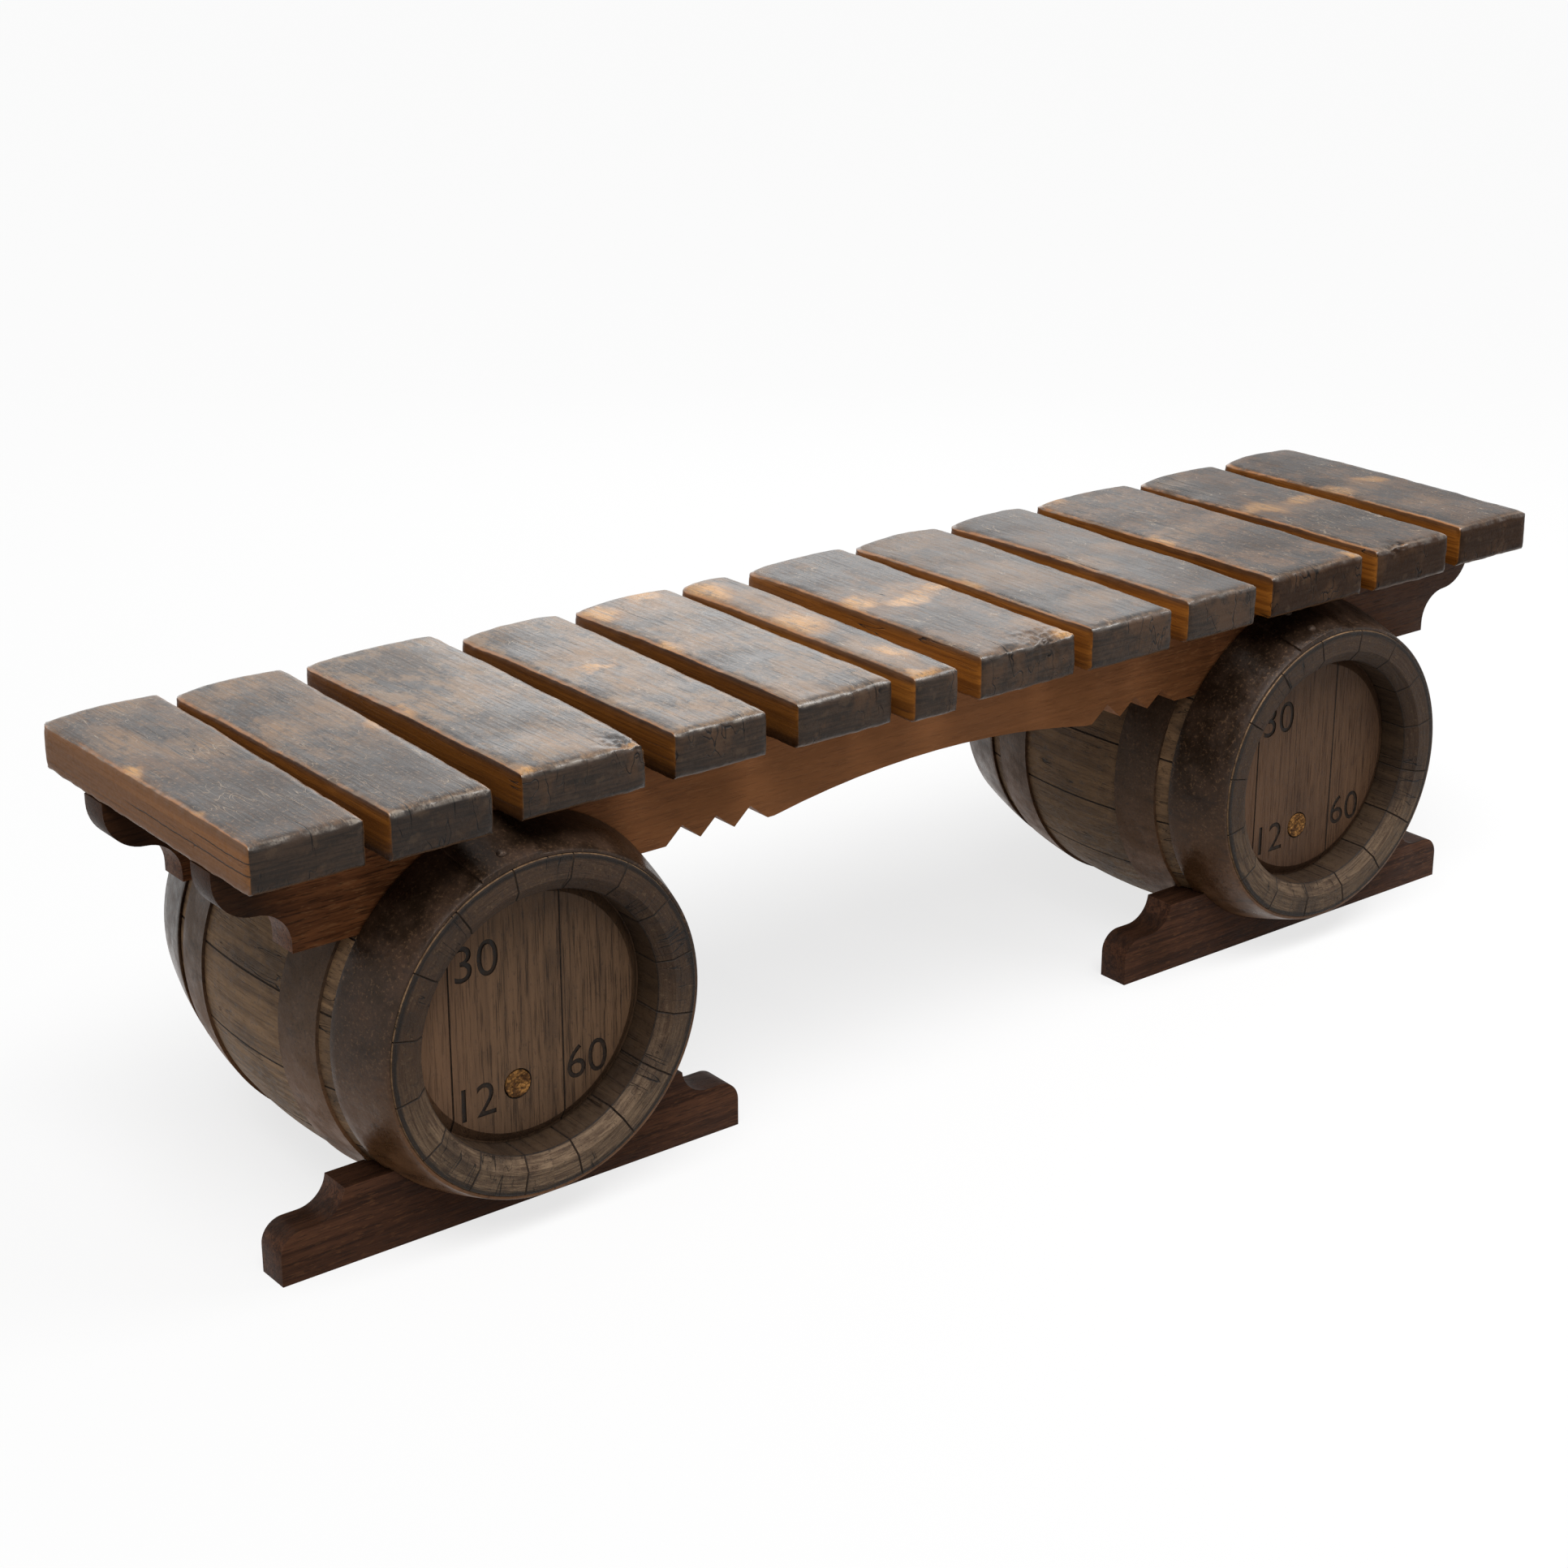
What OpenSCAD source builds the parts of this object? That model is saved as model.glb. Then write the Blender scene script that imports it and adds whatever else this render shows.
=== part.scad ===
// Barrel bench: a slatted oak seat on two scalloped rails, saddled over two barrels that lie
// on their sides. X runs along the bench, Y from front to back, and Z is up from the floor.

/* [Seat] */
// Thickness of a slat
slat_t = 48; // [35:0.5:55]
// Length of a slat, from front to back
slat_len = 382; // [340:1:420]
// Usual gap between two slats
slat_gap = 25; // [19:1:32]
// Width of the first slat from the left
slat_01_w = 105; // [80:1:130]
// Width of the second slat
slat_02_w = 104; // [80:1:130]
// Width of the third slat
slat_03_w = 134; // [105:1:160]
// Width of the fourth slat
slat_04_w = 107; // [80:1:135]
// Width of the fifth slat
slat_05_w = 115; // [90:1:140]
// Width of the sixth slat, the narrow one
slat_06_w = 57; // [45:1:80]
// Width of the seventh slat
slat_07_w = 127; // [100:1:150]
// Width of the eighth slat
slat_08_w = 112; // [90:1:135]
// Width of the ninth slat
slat_09_w = 102; // [80:1:130]
// Width of the tenth slat
slat_10_w = 142; // [115:1:165]
// Width of the eleventh slat
slat_11_w = 117; // [90:1:140]
// Width of the twelfth slat
slat_12_w = 117; // [90:1:140]
// Radius worn on a slat's upright corners on the right
slat_corner_r = 9; // [3:0.5:14]
// Radius of a slat's upright corner at the front on the left
slat_crisp_r = 4; // [2:0.5:10]
// Radius worn on a slat's upright corner at the back on the left
slat_worn_r = 22; // [6:1:30]
// Radius of a slat's long top edge on the left
slat_left_r = 4; // [2:0.5:10]
// Radius worn on a slat's long top edge on the right
slat_right_r = 10; // [3:0.5:14]
// Radius worn on a slat's top edge at the front
slat_front_r = 8; // [3:0.5:14]
// Radius worn on a slat's top edge at the back
slat_back_r = 13; // [3:0.5:18]
// Height of the chamfer under a slat's ends
slat_chamfer = 5; // [2:0.5:8]

/* [Rails] */
// Depth of a rail from the slats down
rail_h = 93; // [85:1:105]
// Thickness of a rail
rail_t = 35; // [28:1:42]
// How far the rails' left ends stand back from the seat's left end
rail_inset_left = 1; // [0:1:20]
// How far the rails' right ends stand back from the seat's right end
rail_inset_right = 21; // [0:1:30]
// Radius of the round lobe at a rail's end
rail_lobe_r = 40; // [30:1:44]
// Radius of the hollow beside that lobe
rail_cove_r = 34; // [26:1:38]
// Width of one sawtooth notch in a rail's lower edge
tooth_w = 40; // [30:1:44]
// Height of a sawtooth notch
tooth_h = 17; // [10:1:24]
// Half the width of the arch in the middle of a rail
arch_half_w = 205; // [170:1:220]
// Rise of that arch
arch_rise = 20; // [8:1:30]

/* [Barrels] */
// Distance between the two barrels' middles
barrel_pitch = 1028; // [960:1:1060]
// Length of a barrel between its two rims
barrel_len = 420; // [400:1:440]
// How far a barrel stands back from the middle of the seat
barrel_setback = 22; // [10:1:26]
// Outer radius of the staves at the belly
belly_r = 198; // [185:0.5:205]
// Outer radius of the staves at a rim
rim_r = 162; // [154:0.5:168]
// Inner radius of a barrel's mouth, in front of its head
rim_inner_r = 127; // [120:0.5:134]
// Width of the bevel inside a rim
bevel_w = 13; // [8:0.5:20]
// Depth of the bevel inside a rim
bevel_depth = 10; // [6:0.5:16]
// Thickness of the staves at the belly
stave_t = 28; // [20:0.5:34]
// Number of staves in a barrel
stave_count = 16; // [12:2:20]
// How deep a head's outer face lies behind its rim
head_depth = 37; // [28:1:45]
// Thickness of a head
head_t = 22; // [16:1:26]
// How far a head's thin edge reaches into its groove
croze_depth = 5; // [3:0.5:7]
// Thickness of a head's thin edge
croze_w = 9; // [6:0.5:12]
// Width of the chamfer round a head
head_chamfer_w = 10; // [6:0.5:16]
// Radius of the bung in a front head
bung_r = 14; // [10:0.5:18]
// How far a bung lies below the middle of its head
bung_drop = 67; // [55:1:80]
// How far a bung lies to the left of the middle of its head
bung_side = 12; // [4:1:20]
// How far a bung stands out of its head
bung_proud = 1.5; // [0.5:0.5:4]

/* [Hoops] */
// Thickness of the hoop iron
hoop_t = 3.2; // [2.5:0.1:3.5]
// Width of a hoop at a rim
head_hoop_w = 66; // [50:1:70]
// Width of a hoop beside the belly
bilge_hoop_w = 52; // [42:1:58]
// Bare stave between the two hoops of a barrel's half
hoop_space = 18; // [10:1:24]
// How far a hoop's outer edge lies behind its rim
rim_show = 2; // [1:0.5:5]
// Angle that a hoop's lapped end covers
lap_angle = 22; // [14:1:28]
// Radius of a rivet's head
rivet_r = 5; // [3:0.5:7]

/* [Feet] */
// Half the length of a front foot
foot_half = 252; // [235:1:270]
// Height of a foot's flat top
foot_h = 77; // [68:1:84]
// Thickness of a foot and of a chock
foot_t = 36; // [28:1:40]
// How far a foot and a chock reach under the hoop beside the belly
foot_lap = 5; // [2:1:10]
// Radius of the round toe of a foot
toe_r = 22; // [16:1:26]
// Height of the upright face below that toe
toe_flat = 28; // [22:1:32]
// Radius of the hollow above the toe
instep_r = 30; // [22:1:34]
// Half the length of a rear chock
chock_half = 34; // [28:1:40]

/* [Fixings] */
// Radius of a screw's shank
screw_r = 2.5; // [2:0.1:3]
// Radius of a screw's head
screw_head_r = 4.8; // [4:0.1:5.5]
// How far a screw reaches into the second piece
screw_bite = 18; // [12:1:22]
// Wood left between a seat screw's head and the slats
screw_grip = 22; // [16:1:26]

/* [Clearances] */
// Room between a barrel's belly and the floor
floor_room = 2.5; // [1.5:0.5:6]
// Room between the top of a barrel and the slats
seat_room = 1.5; // [1:0.5:6]
// Room between a hoop and the staves
hoop_fit = 0.1; // [0.05:0.05:0.3]
// Room between a barrel and the wood cut to fit it
saddle_fit = 0.3; // [0.2:0.1:1]
// Room between the head hoops and the front rail behind them
rail_room = 2; // [1:0.5:6]
// Room between a rail and the slats on it
seat_fit = 0.2; // [0.1:0.1:0.5]
// Room between neighbouring staves or head boards
joint_gap = 0.4; // [0.2:0.1:0.8]
// Room round a bung, a screw, a head's edge and a screw's head
bore_fit = 0.2; // [0.1:0.05:0.4]

/* [Hidden] */

$fn = 96;
// Fineness of the long shallow curves
fine = 360;
// Overshoot of a cut past the face it opens
cut = 2;

// Slats: widths in order, how much each gap differs from the usual one, how far each slat's
// front end was set off the line, and how much longer or shorter it was sawn
slat_w = [slat_01_w, slat_02_w, slat_03_w, slat_04_w, slat_05_w, slat_06_w,
    slat_07_w, slat_08_w, slat_09_w, slat_10_w, slat_11_w, slat_12_w];
slat_count = len(slat_w);
gap_change = [-1, 9, 4, 5, -9, 9, -7, 2, 1, -8, 2];
slat_shift = [0, -6, 4, 4, 0, -12, -3, -5, 0, 4, 1, 8];
slat_trim = [1, 5, -2, -10, -8, 6, 2, 4, 1, -5, -6, -10];
function slat_l(i) = slat_len + slat_trim[i];
function total(list, last) = last < 0 ? 0 : list[last] + total(list, last - 1);
seat_len = total(slat_w, slat_count - 1) + total(gap_change, slat_count - 2)
    + (slat_count - 1) * slat_gap;
function slat_x(i) = -seat_len / 2 + total(slat_w, i - 1) + total(gap_change, i - 1) + i * slat_gap;
function slat_mid(i) = slat_x(i) + slat_w[i] / 2;

// Depth: the foremost slat end and the rear rims lie at equal distances from the middle
half_len = barrel_len / 2;
seat_y = (slat_len / 2 - min(slat_shift) - barrel_setback - half_len) / 2;
barrel_y = seat_y + barrel_setback;
rail_mid_x = (rail_inset_left - rail_inset_right) / 2;
left_x = rail_mid_x - barrel_pitch / 2;
right_x = rail_mid_x + barrel_pitch / 2;

// Barrel curves: each is a circle whose middle lies across the barrel's axis
head_hoop_end = half_len - rim_show;
bilge_hoop_end = head_hoop_end - head_hoop_w - hoop_space;
bilge_hoop_at = bilge_hoop_end - bilge_hoop_w;
stave_bow = belly_r - rim_r;
stave_curve = (half_len * half_len + stave_bow * stave_bow) / (2 * stave_bow);
function stave_r(h) = belly_r - stave_curve + sqrt(stave_curve * stave_curve - h * h);
head_step = (head_t - croze_w) / 2;
head_face = half_len - head_depth;
groove_at = head_face - head_step + bore_fit;
groove_r = rim_inner_r + croze_depth;
inner_belly_r = belly_r - stave_t;
inner_half = groove_at - croze_w - 2 * bore_fit;
inner_bow = inner_belly_r - rim_inner_r - 2;
inner_curve = (inner_half * inner_half + inner_bow * inner_bow) / (2 * inner_bow);

// Heights: the barrels carry the seat
axis_h = belly_r + floor_room;
barrel_top_r = max(belly_r, stave_r(bilge_hoop_at) + hoop_fit + hoop_t);
slat_base_z = axis_h + barrel_top_r + seat_room;

// Rails
rail_top_z = slat_base_z - seat_fit;
rail_z = rail_top_z - rail_h;
rail_half = (seat_len - rail_inset_left - rail_inset_right) / 2;
lobe_z = rail_z + rail_h - (rail_h - rail_lobe_r - rail_cove_r) / 2;
tooth_count = 3;
tooth_lean = 0.47;
teeth_end = arch_half_w + tooth_count * tooth_w + 8;
arch_r = (arch_half_w * arch_half_w + arch_rise * arch_rise) / (2 * arch_rise);
rail_reach = seat_y - barrel_y + head_hoop_end - head_hoop_w - rail_room;
front_rail_y = seat_y - rail_reach + rail_t / 2;
rear_rail_y = seat_y + rail_reach - rail_t / 2;

// Head boards meet at these shares of the head's radius
head_seams = [-0.64, 0.3];
head_edge_r = groove_r - bore_fit;

// Angles at which the hoops' lapped ends start
head_lap_at = 90;
bilge_lap_at = -12;

// Feet and chocks
foot_at = bilge_hoop_end - foot_lap;
toe_top = toe_flat + toe_r;
instep_mid_z = toe_top + instep_r;
instep_mid_x = toe_r + instep_r / 2;
foot_screw_x = 18;
foot_screw_z = 6;
foot_screw_top = axis_h - stave_r(foot_at + foot_t / 2) + screw_bite;
chock_h = 24;

// Screws
screw_head_t = 4;
seat_screw_room = 104;
screw_edge = 11;

// What wear takes off a corner at (0, 0) to leave it round
module corner_waste(r) {
    difference() {
        translate([-cut, -cut]) square(r + cut);
        translate([r, r]) circle(r);
    }
}

// A slat seen from above: the back corner on the left is worn most
module slat_plan(w, len) {
    difference() {
        square([w, len]);
        corner_waste(slat_crisp_r);
        translate([w, 0]) mirror([1, 0]) corner_waste(slat_corner_r);
        translate([w, len]) rotate(180) corner_waste(slat_corner_r);
        translate([0, len]) mirror([0, 1]) corner_waste(slat_worn_r);
    }
}

// A slat seen along its length or its width: round at the top, with its own radius each side
module slat_section(w, left_r, right_r) {
    difference() {
        square([w, slat_t]);
        translate([0, slat_t]) mirror([0, 1]) corner_waste(left_r);
        translate([w, slat_t]) rotate(180) corner_waste(right_r);
    }
}

// A slat seen from its long side: round top edges and a chamfer below at both ends
module slat_side(len) {
    difference() {
        slat_section(len, slat_front_r, slat_back_r);
        for (side = [0, 1])
            translate([side * len, 0]) rotate(45)
                square(slat_chamfer * sqrt(2), center = true);
    }
}

// Where the screws of one slat stand, clear of the thin wood over a barrel
function screw_x(i) =
    let (mid = slat_mid(i), barrel = mid < 0 ? left_x : right_x, off = mid - barrel)
    abs(off) >= seat_screw_room ? mid
        : min(max(barrel + sign(off) * seat_screw_room, slat_x(i) + screw_edge),
            slat_x(i) + slat_w[i] - screw_edge);

module slat(i) {
    w = slat_w[i];
    len = slat_l(i);
    color("saddlebrown")
    difference() {
        translate([slat_x(i), seat_y - slat_len / 2 + slat_shift[i], slat_base_z])
            intersection() {
                linear_extrude(slat_t) slat_plan(w, len);
                translate([0, len, 0]) rotate([90, 0, 0])
                    linear_extrude(len) slat_section(w, slat_left_r, slat_right_r);
                rotate([90, 0, 90]) linear_extrude(w) slat_side(len);
            }
        for (y = [front_rail_y, rear_rail_y])
            translate([screw_x(i), y, slat_base_z - cut])
                cylinder(r = screw_r + bore_fit, h = screw_bite + bore_fit + cut);
    }
}

// Outline of a rail: ogee ends, sawtooth notches and a low arch between the barrels
module rail_outline() {
    foot_x = rail_lobe_r + rail_cove_r - 2;
    difference() {
        union() {
            translate([-rail_half + foot_x, rail_z])
                square([2 * (rail_half - foot_x), rail_h]);
            translate([-rail_half, lobe_z]) square([2 * rail_half, rail_top_z - lobe_z]);
            for (side = [-1, 1])
                scale([side, 1]) rail_end(foot_x);
        }
        for (side = [-1, 1], i = [0 : tooth_count - 1])
            scale([side, 1]) tooth(teeth_end - i * tooth_w);
        translate([0, rail_z + arch_rise - arch_r]) circle(arch_r, $fn = fine);
    }
}

// The ogee at the right-hand end of a rail: a round lobe, then a hollow
module rail_end(foot_x) {
    intersection() {
        translate([rail_half - rail_lobe_r, lobe_z]) circle(rail_lobe_r);
        translate([rail_half - foot_x, rail_z])
            square([foot_x, rail_top_z - rail_z]);
    }
    difference() {
        translate([rail_half - foot_x - 1, rail_z])
            square([rail_cove_r, rail_h]);
        translate([rail_half - rail_lobe_r + 2, lobe_z - rail_lobe_r - rail_cove_r])
            circle(rail_cove_r);
        translate([rail_half - foot_x, rail_z - cut])
            square([foot_x, lobe_z - rail_lobe_r - rail_cove_r - rail_z + cut]);
    }
}

// One sawtooth notch whose outer corner is at x
module tooth(x) {
    polygon([[x, rail_z - cut], [x, rail_z], [x - tooth_w * tooth_lean, rail_z + tooth_h],
        [x - tooth_w, rail_z], [x - tooth_w, rail_z - cut]]);
}

// The space a barrel takes up with its hoops on, a little larger all round
module barrel_room(x) {
    translate([x, barrel_y, axis_h]) rotate([90, 0, 0])
        rotate_extrude() {
            band(0, stave_curve + saddle_fit, -half_len, half_len);
            for (side = [-1, 1]) {
                hoop_room(side, head_hoop_end, head_hoop_w);
                hoop_room(side, bilge_hoop_end, bilge_hoop_w);
            }
        }
}

module hoop_room(side, end, w) {
    low = min(side * end, side * (end - w)) - saddle_fit;
    band(0, stave_curve + hoop_fit + hoop_t + saddle_fit, low, low + w + 2 * saddle_fit);
}

// The part of a barrel's profile between two heights that lies within one long curve.
// Its inner side stops at radius r
module band(r, curve, low, high) {
    intersection() {
        translate([belly_r - stave_curve, 0]) circle(curve, $fn = fine);
        translate([r, low]) square([belly_r + 2 * hoop_t + cut, high - low]);
    }
}

module rail(y) {
    color("sienna")
    difference() {
        translate([rail_mid_x, y + rail_t / 2, 0]) rotate([90, 0, 0])
            linear_extrude(rail_t) rail_outline();
        barrel_room(left_x);
        barrel_room(right_x);
        for (i = [0 : slat_count - 1])
            translate([screw_x(i), y, 0]) seat_screw_hole();
    }
}

module seat_screw_hole() {
    translate([0, 0, rail_z - cut])
        cylinder(r = screw_head_r + bore_fit, h = rail_h - screw_grip + cut);
    cylinder(r = screw_r + bore_fit, h = slat_base_z);
}

// A wood screw that stands on its head, with the head's underside at z = 0
module screw(len) {
    translate([0, 0, -screw_head_t]) cylinder(r = screw_head_r, h = screw_head_t);
    cylinder(r = screw_r, h = len);
}

// Profile of a stave: bowed outside and inside, with a bevelled mouth and a groove for each head
module stave_profile() {
    difference() {
        band(rim_inner_r, stave_curve, -half_len, half_len);
        for (side = [-1, 1])
            scale([1, side]) polygon([[rim_inner_r - cut, half_len + cut],
                [rim_inner_r - cut, half_len - bevel_depth], [rim_inner_r, half_len - bevel_depth],
                [rim_inner_r + bevel_w, half_len], [rim_inner_r + bevel_w, half_len + cut]]);
        intersection() {
            translate([inner_belly_r - inner_curve, 0]) circle(inner_curve, $fn = fine);
            translate([0, -inner_half]) square([inner_belly_r + cut, 2 * inner_half]);
        }
        for (side = [-1, 1])
            scale([1, side]) translate([0, inner_half])
                square([groove_r, groove_at - inner_half]);
    }
}

module staves(x) {
    turn = 360 / stave_count;
    half_gap = joint_gap / belly_r * 90 / PI;
    color("dimgray")
    difference() {
        translate([x, barrel_y, axis_h]) rotate([90, 0, 0])
            for (i = [0 : stave_count - 1])
                rotate(-90 - turn / 2 + i * turn + half_gap)
                    rotate_extrude(angle = turn - 2 * half_gap) stave_profile();
        foot_screw_holes(x);
    }
}

// Profile of a head: a disc whose edge thins to fit the groove. Height 0 is its outer face
module head_profile() {
    shoulder_r = rim_inner_r - 1;
    polygon([[0, 0], [shoulder_r - head_chamfer_w, 0], [shoulder_r, -head_step],
        [head_edge_r, -head_step], [head_edge_r, -head_step - croze_w],
        [shoulder_r, -head_step - croze_w],
        [shoulder_r - head_chamfer_w, -head_t], [0, -head_t]]);
}

// A head in its place at the front (side 1) or the rear (side -1), cut into its boards
module head(x, side) {
    edges = concat([-1.2], head_seams, [1.2]);
    color("peru")
    translate([x, barrel_y, axis_h]) rotate([90, 0, 0]) scale([1, 1, side])
        translate([0, 0, head_face])
            for (i = [0 : len(edges) - 2])
                intersection() {
                    rotate_extrude() head_profile();
                    translate([edges[i] * rim_inner_r + joint_gap / 2, -1.2 * rim_inner_r, -head_t])
                        cube([(edges[i + 1] - edges[i]) * rim_inner_r - joint_gap,
                            2.4 * rim_inner_r, head_t]);
                }
}

module front_head(x) {
    color("peru")
    difference() {
        head(x, 1);
        bung_place(x) translate([0, 0, -head_t - cut])
            cylinder(r = bung_r + bore_fit, h = head_t + 2 * cut);
    }
}

// Puts its children on a front head's outer face, where the bung is
module bung_place(x) {
    translate([x - bung_side, barrel_y - head_face, axis_h - bung_drop]) rotate([90, 0, 0]) children();
}

module bung(x) {
    color("goldenrod")
    bung_place(x) translate([0, 0, -head_t])
        cylinder(r = bung_r, h = head_t + bung_proud);
}

// A hoop whose outer edge is at height end, with its lapped end on top of it
module hoop(x, end, w, side, lap_at) {
    low = side > 0 ? end - w : -end;
    color("darkslategray")
    translate([x, barrel_y, axis_h]) rotate([90, 0, 0]) {
        rotate_extrude() hoop_profile(low, w, hoop_fit, hoop_fit + hoop_t);
        rotate(lap_at) rotate_extrude(angle = lap_angle)
            hoop_profile(low, w, hoop_fit + hoop_t / 2, hoop_fit + 2 * hoop_t);
    }
}

module hoop_profile(low, w, from, to) {
    difference() {
        band(0, stave_curve + to, low, low + w);
        band(0, stave_curve + from, low - cut, low + w + cut);
    }
}

// Two rivets through each lap, driven square to the barrel
module rivets(x) {
    color("slategray")
    translate([x, barrel_y, axis_h]) rotate([90, 0, 0]) {
        for (side = [-1, 1]) {
            rivet_pair(side * (head_hoop_end - head_hoop_w / 2), head_hoop_w, head_lap_at);
            rivet_pair(side * (bilge_hoop_end - bilge_hoop_w / 2), bilge_hoop_w, bilge_lap_at);
        }
    }
}

module rivet_pair(h, w, lap_at) {
    for (share = [-0.25, 0.25]) {
        at = h + share * w;
        lean = asin(at / stave_curve);
        rotate(lap_at + lap_angle / 2) translate([stave_r(at), 0, at]) rotate([0, 90 - lean, 0])
            translate([0, 0, hoop_fit + 2 * hoop_t]) rivet_head();
    }
}

module rivet_head() {
    intersection() {
        translate([0, 0, -rivet_r * 0.55]) sphere(rivet_r * 1.2);
        cylinder(r = rivet_r, h = 2 * rivet_r);
    }
}

// Outline of a foot's right-hand half: a round toe, a hollow instep and a flat top
module foot_half_outline() {
    difference() {
        union() {
            square([foot_half, toe_flat]);
            square([foot_half - toe_r, toe_top]);
            translate([foot_half - toe_r, toe_flat]) circle(toe_r);
            square([foot_half - instep_mid_x, foot_h]);
        }
        translate([foot_half - instep_mid_x, instep_mid_z]) circle(instep_r);
    }
    difference() {
        square([foot_half - instep_mid_x, foot_h]);
        translate([foot_half - instep_mid_x, instep_mid_z]) circle(instep_r);
    }
}

module front_foot(x) {
    color("sienna")
    difference() {
        translate([x, barrel_y - foot_at, 0]) rotate([90, 0, 0])
            linear_extrude(foot_t)
                for (side = [-1, 1])
                    scale([side, 1]) foot_half_outline();
        barrel_room(x);
        foot_screw_holes(x);
    }
}

module rear_chock(x) {
    color("sienna")
    difference() {
        translate([x - chock_half, barrel_y + foot_at, 0]) cube([2 * chock_half, foot_t, chock_h]);
        barrel_room(x);
        foot_screw_holes(x);
    }
}

// Places of the screws that hold a foot and a chock to the lowest stave
module foot_screw_places(x) {
    for (side = [-1, 1], across = [-1, 1])
        translate([x + across * foot_screw_x, barrel_y + side * (foot_at + foot_t / 2), 0])
            children();
}

module foot_screw_holes(x) {
    foot_screw_places(x) {
        translate([0, 0, -cut]) cylinder(r = screw_head_r + bore_fit, h = foot_screw_z + cut);
        cylinder(r = screw_r + bore_fit, h = foot_screw_top + bore_fit);
    }
}

module seat_screws() {
    color("gray")
    for (i = [0 : slat_count - 1], y = [front_rail_y, rear_rail_y])
        translate([screw_x(i), y, rail_top_z - screw_grip])
            screw(screw_grip + seat_fit + screw_bite);
}

module foot_screws() {
    color("gray")
    for (x = [left_x, right_x])
        foot_screw_places(x) translate([0, 0, foot_screw_z]) screw(foot_screw_top - foot_screw_z);
}

slat(0);  // slat_01
slat(1);  // slat_02
slat(2);  // slat_03
slat(3);  // slat_04
slat(4);  // slat_05
slat(5);  // slat_06
slat(6);  // slat_07
slat(7);  // slat_08
slat(8);  // slat_09
slat(9);  // slat_10
slat(10);  // slat_11
slat(11);  // slat_12
rail(front_rail_y);  // front_rail
rail(rear_rail_y);  // rear_rail
staves(left_x);  // left_staves
staves(right_x);  // right_staves
front_head(left_x);  // left_front_head
head(left_x, -1);  // left_rear_head
front_head(right_x);  // right_front_head
head(right_x, -1);  // right_rear_head
bung(left_x);  // left_bung
bung(right_x);  // right_bung
hoop(left_x, head_hoop_end, head_hoop_w, 1, head_lap_at);  // left_front_head_hoop
hoop(left_x, bilge_hoop_end, bilge_hoop_w, 1, bilge_lap_at);  // left_front_bilge_hoop
hoop(left_x, bilge_hoop_end, bilge_hoop_w, -1, bilge_lap_at);  // left_rear_bilge_hoop
hoop(left_x, head_hoop_end, head_hoop_w, -1, head_lap_at);  // left_rear_head_hoop
hoop(right_x, head_hoop_end, head_hoop_w, 1, head_lap_at);  // right_front_head_hoop
hoop(right_x, bilge_hoop_end, bilge_hoop_w, 1, bilge_lap_at);  // right_front_bilge_hoop
hoop(right_x, bilge_hoop_end, bilge_hoop_w, -1, bilge_lap_at);  // right_rear_bilge_hoop
hoop(right_x, head_hoop_end, head_hoop_w, -1, head_lap_at);  // right_rear_head_hoop
rivets(left_x);  // left_rivets
rivets(right_x);  // right_rivets
front_foot(left_x);  // left_front_foot
front_foot(right_x);  // right_front_foot
rear_chock(left_x);  // left_rear_chock
rear_chock(right_x);  // right_rear_chock
seat_screws();
foot_screws();
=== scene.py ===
import math
import random

import bpy
import numpy as np
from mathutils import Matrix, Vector


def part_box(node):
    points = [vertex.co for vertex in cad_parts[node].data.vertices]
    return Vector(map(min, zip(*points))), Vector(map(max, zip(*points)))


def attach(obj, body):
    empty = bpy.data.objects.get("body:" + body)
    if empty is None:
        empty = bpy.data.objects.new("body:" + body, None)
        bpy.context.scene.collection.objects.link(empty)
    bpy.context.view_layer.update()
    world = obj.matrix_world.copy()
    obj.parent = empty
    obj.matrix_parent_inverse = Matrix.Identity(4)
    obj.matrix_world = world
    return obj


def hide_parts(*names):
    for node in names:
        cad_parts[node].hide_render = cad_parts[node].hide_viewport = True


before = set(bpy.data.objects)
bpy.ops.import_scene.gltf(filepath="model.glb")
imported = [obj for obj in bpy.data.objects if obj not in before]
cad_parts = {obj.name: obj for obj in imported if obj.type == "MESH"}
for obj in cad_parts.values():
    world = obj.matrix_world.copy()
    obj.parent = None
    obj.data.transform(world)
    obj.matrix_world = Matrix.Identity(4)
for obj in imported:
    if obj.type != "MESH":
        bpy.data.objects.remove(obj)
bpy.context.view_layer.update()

bl_info = {
    "name": "Barrel bench",
    "version": (1, 0, 0),
    "blender": (4, 5, 0),
    "location": "View3D > Sidebar > Bench",
    "description": "Worn oak bench of slats and rails on two small coopered barrels",
    "category": "Object",
}

SLATS = [f"slat_{n:02d}" for n in range(1, 13)]
SIDES = ("left", "right")


def paint(red, green, blue):
    """Gives the linear colour for display values from 0 to 255."""
    def linear(v):
        v /= 255
        return v / 12.92 if v <= 0.04045 else ((v + 0.055) / 1.055) ** 2.4
    return (linear(red), linear(green), linear(blue), 1.0)


# Settings

def size_setting(name, description, default, least=0.0):
    """Gives a setting for a length in metres."""
    return bpy.props.FloatProperty(name=name, description=description, default=default, min=least,
                                   unit="LENGTH")


def colour_setting(name, description, *display):
    """Gives a setting for a colour, from its display values."""
    return bpy.props.FloatVectorProperty(name=name, description=description, subtype="COLOR",
                                         size=4, default=paint(*display), min=0, max=1)


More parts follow.
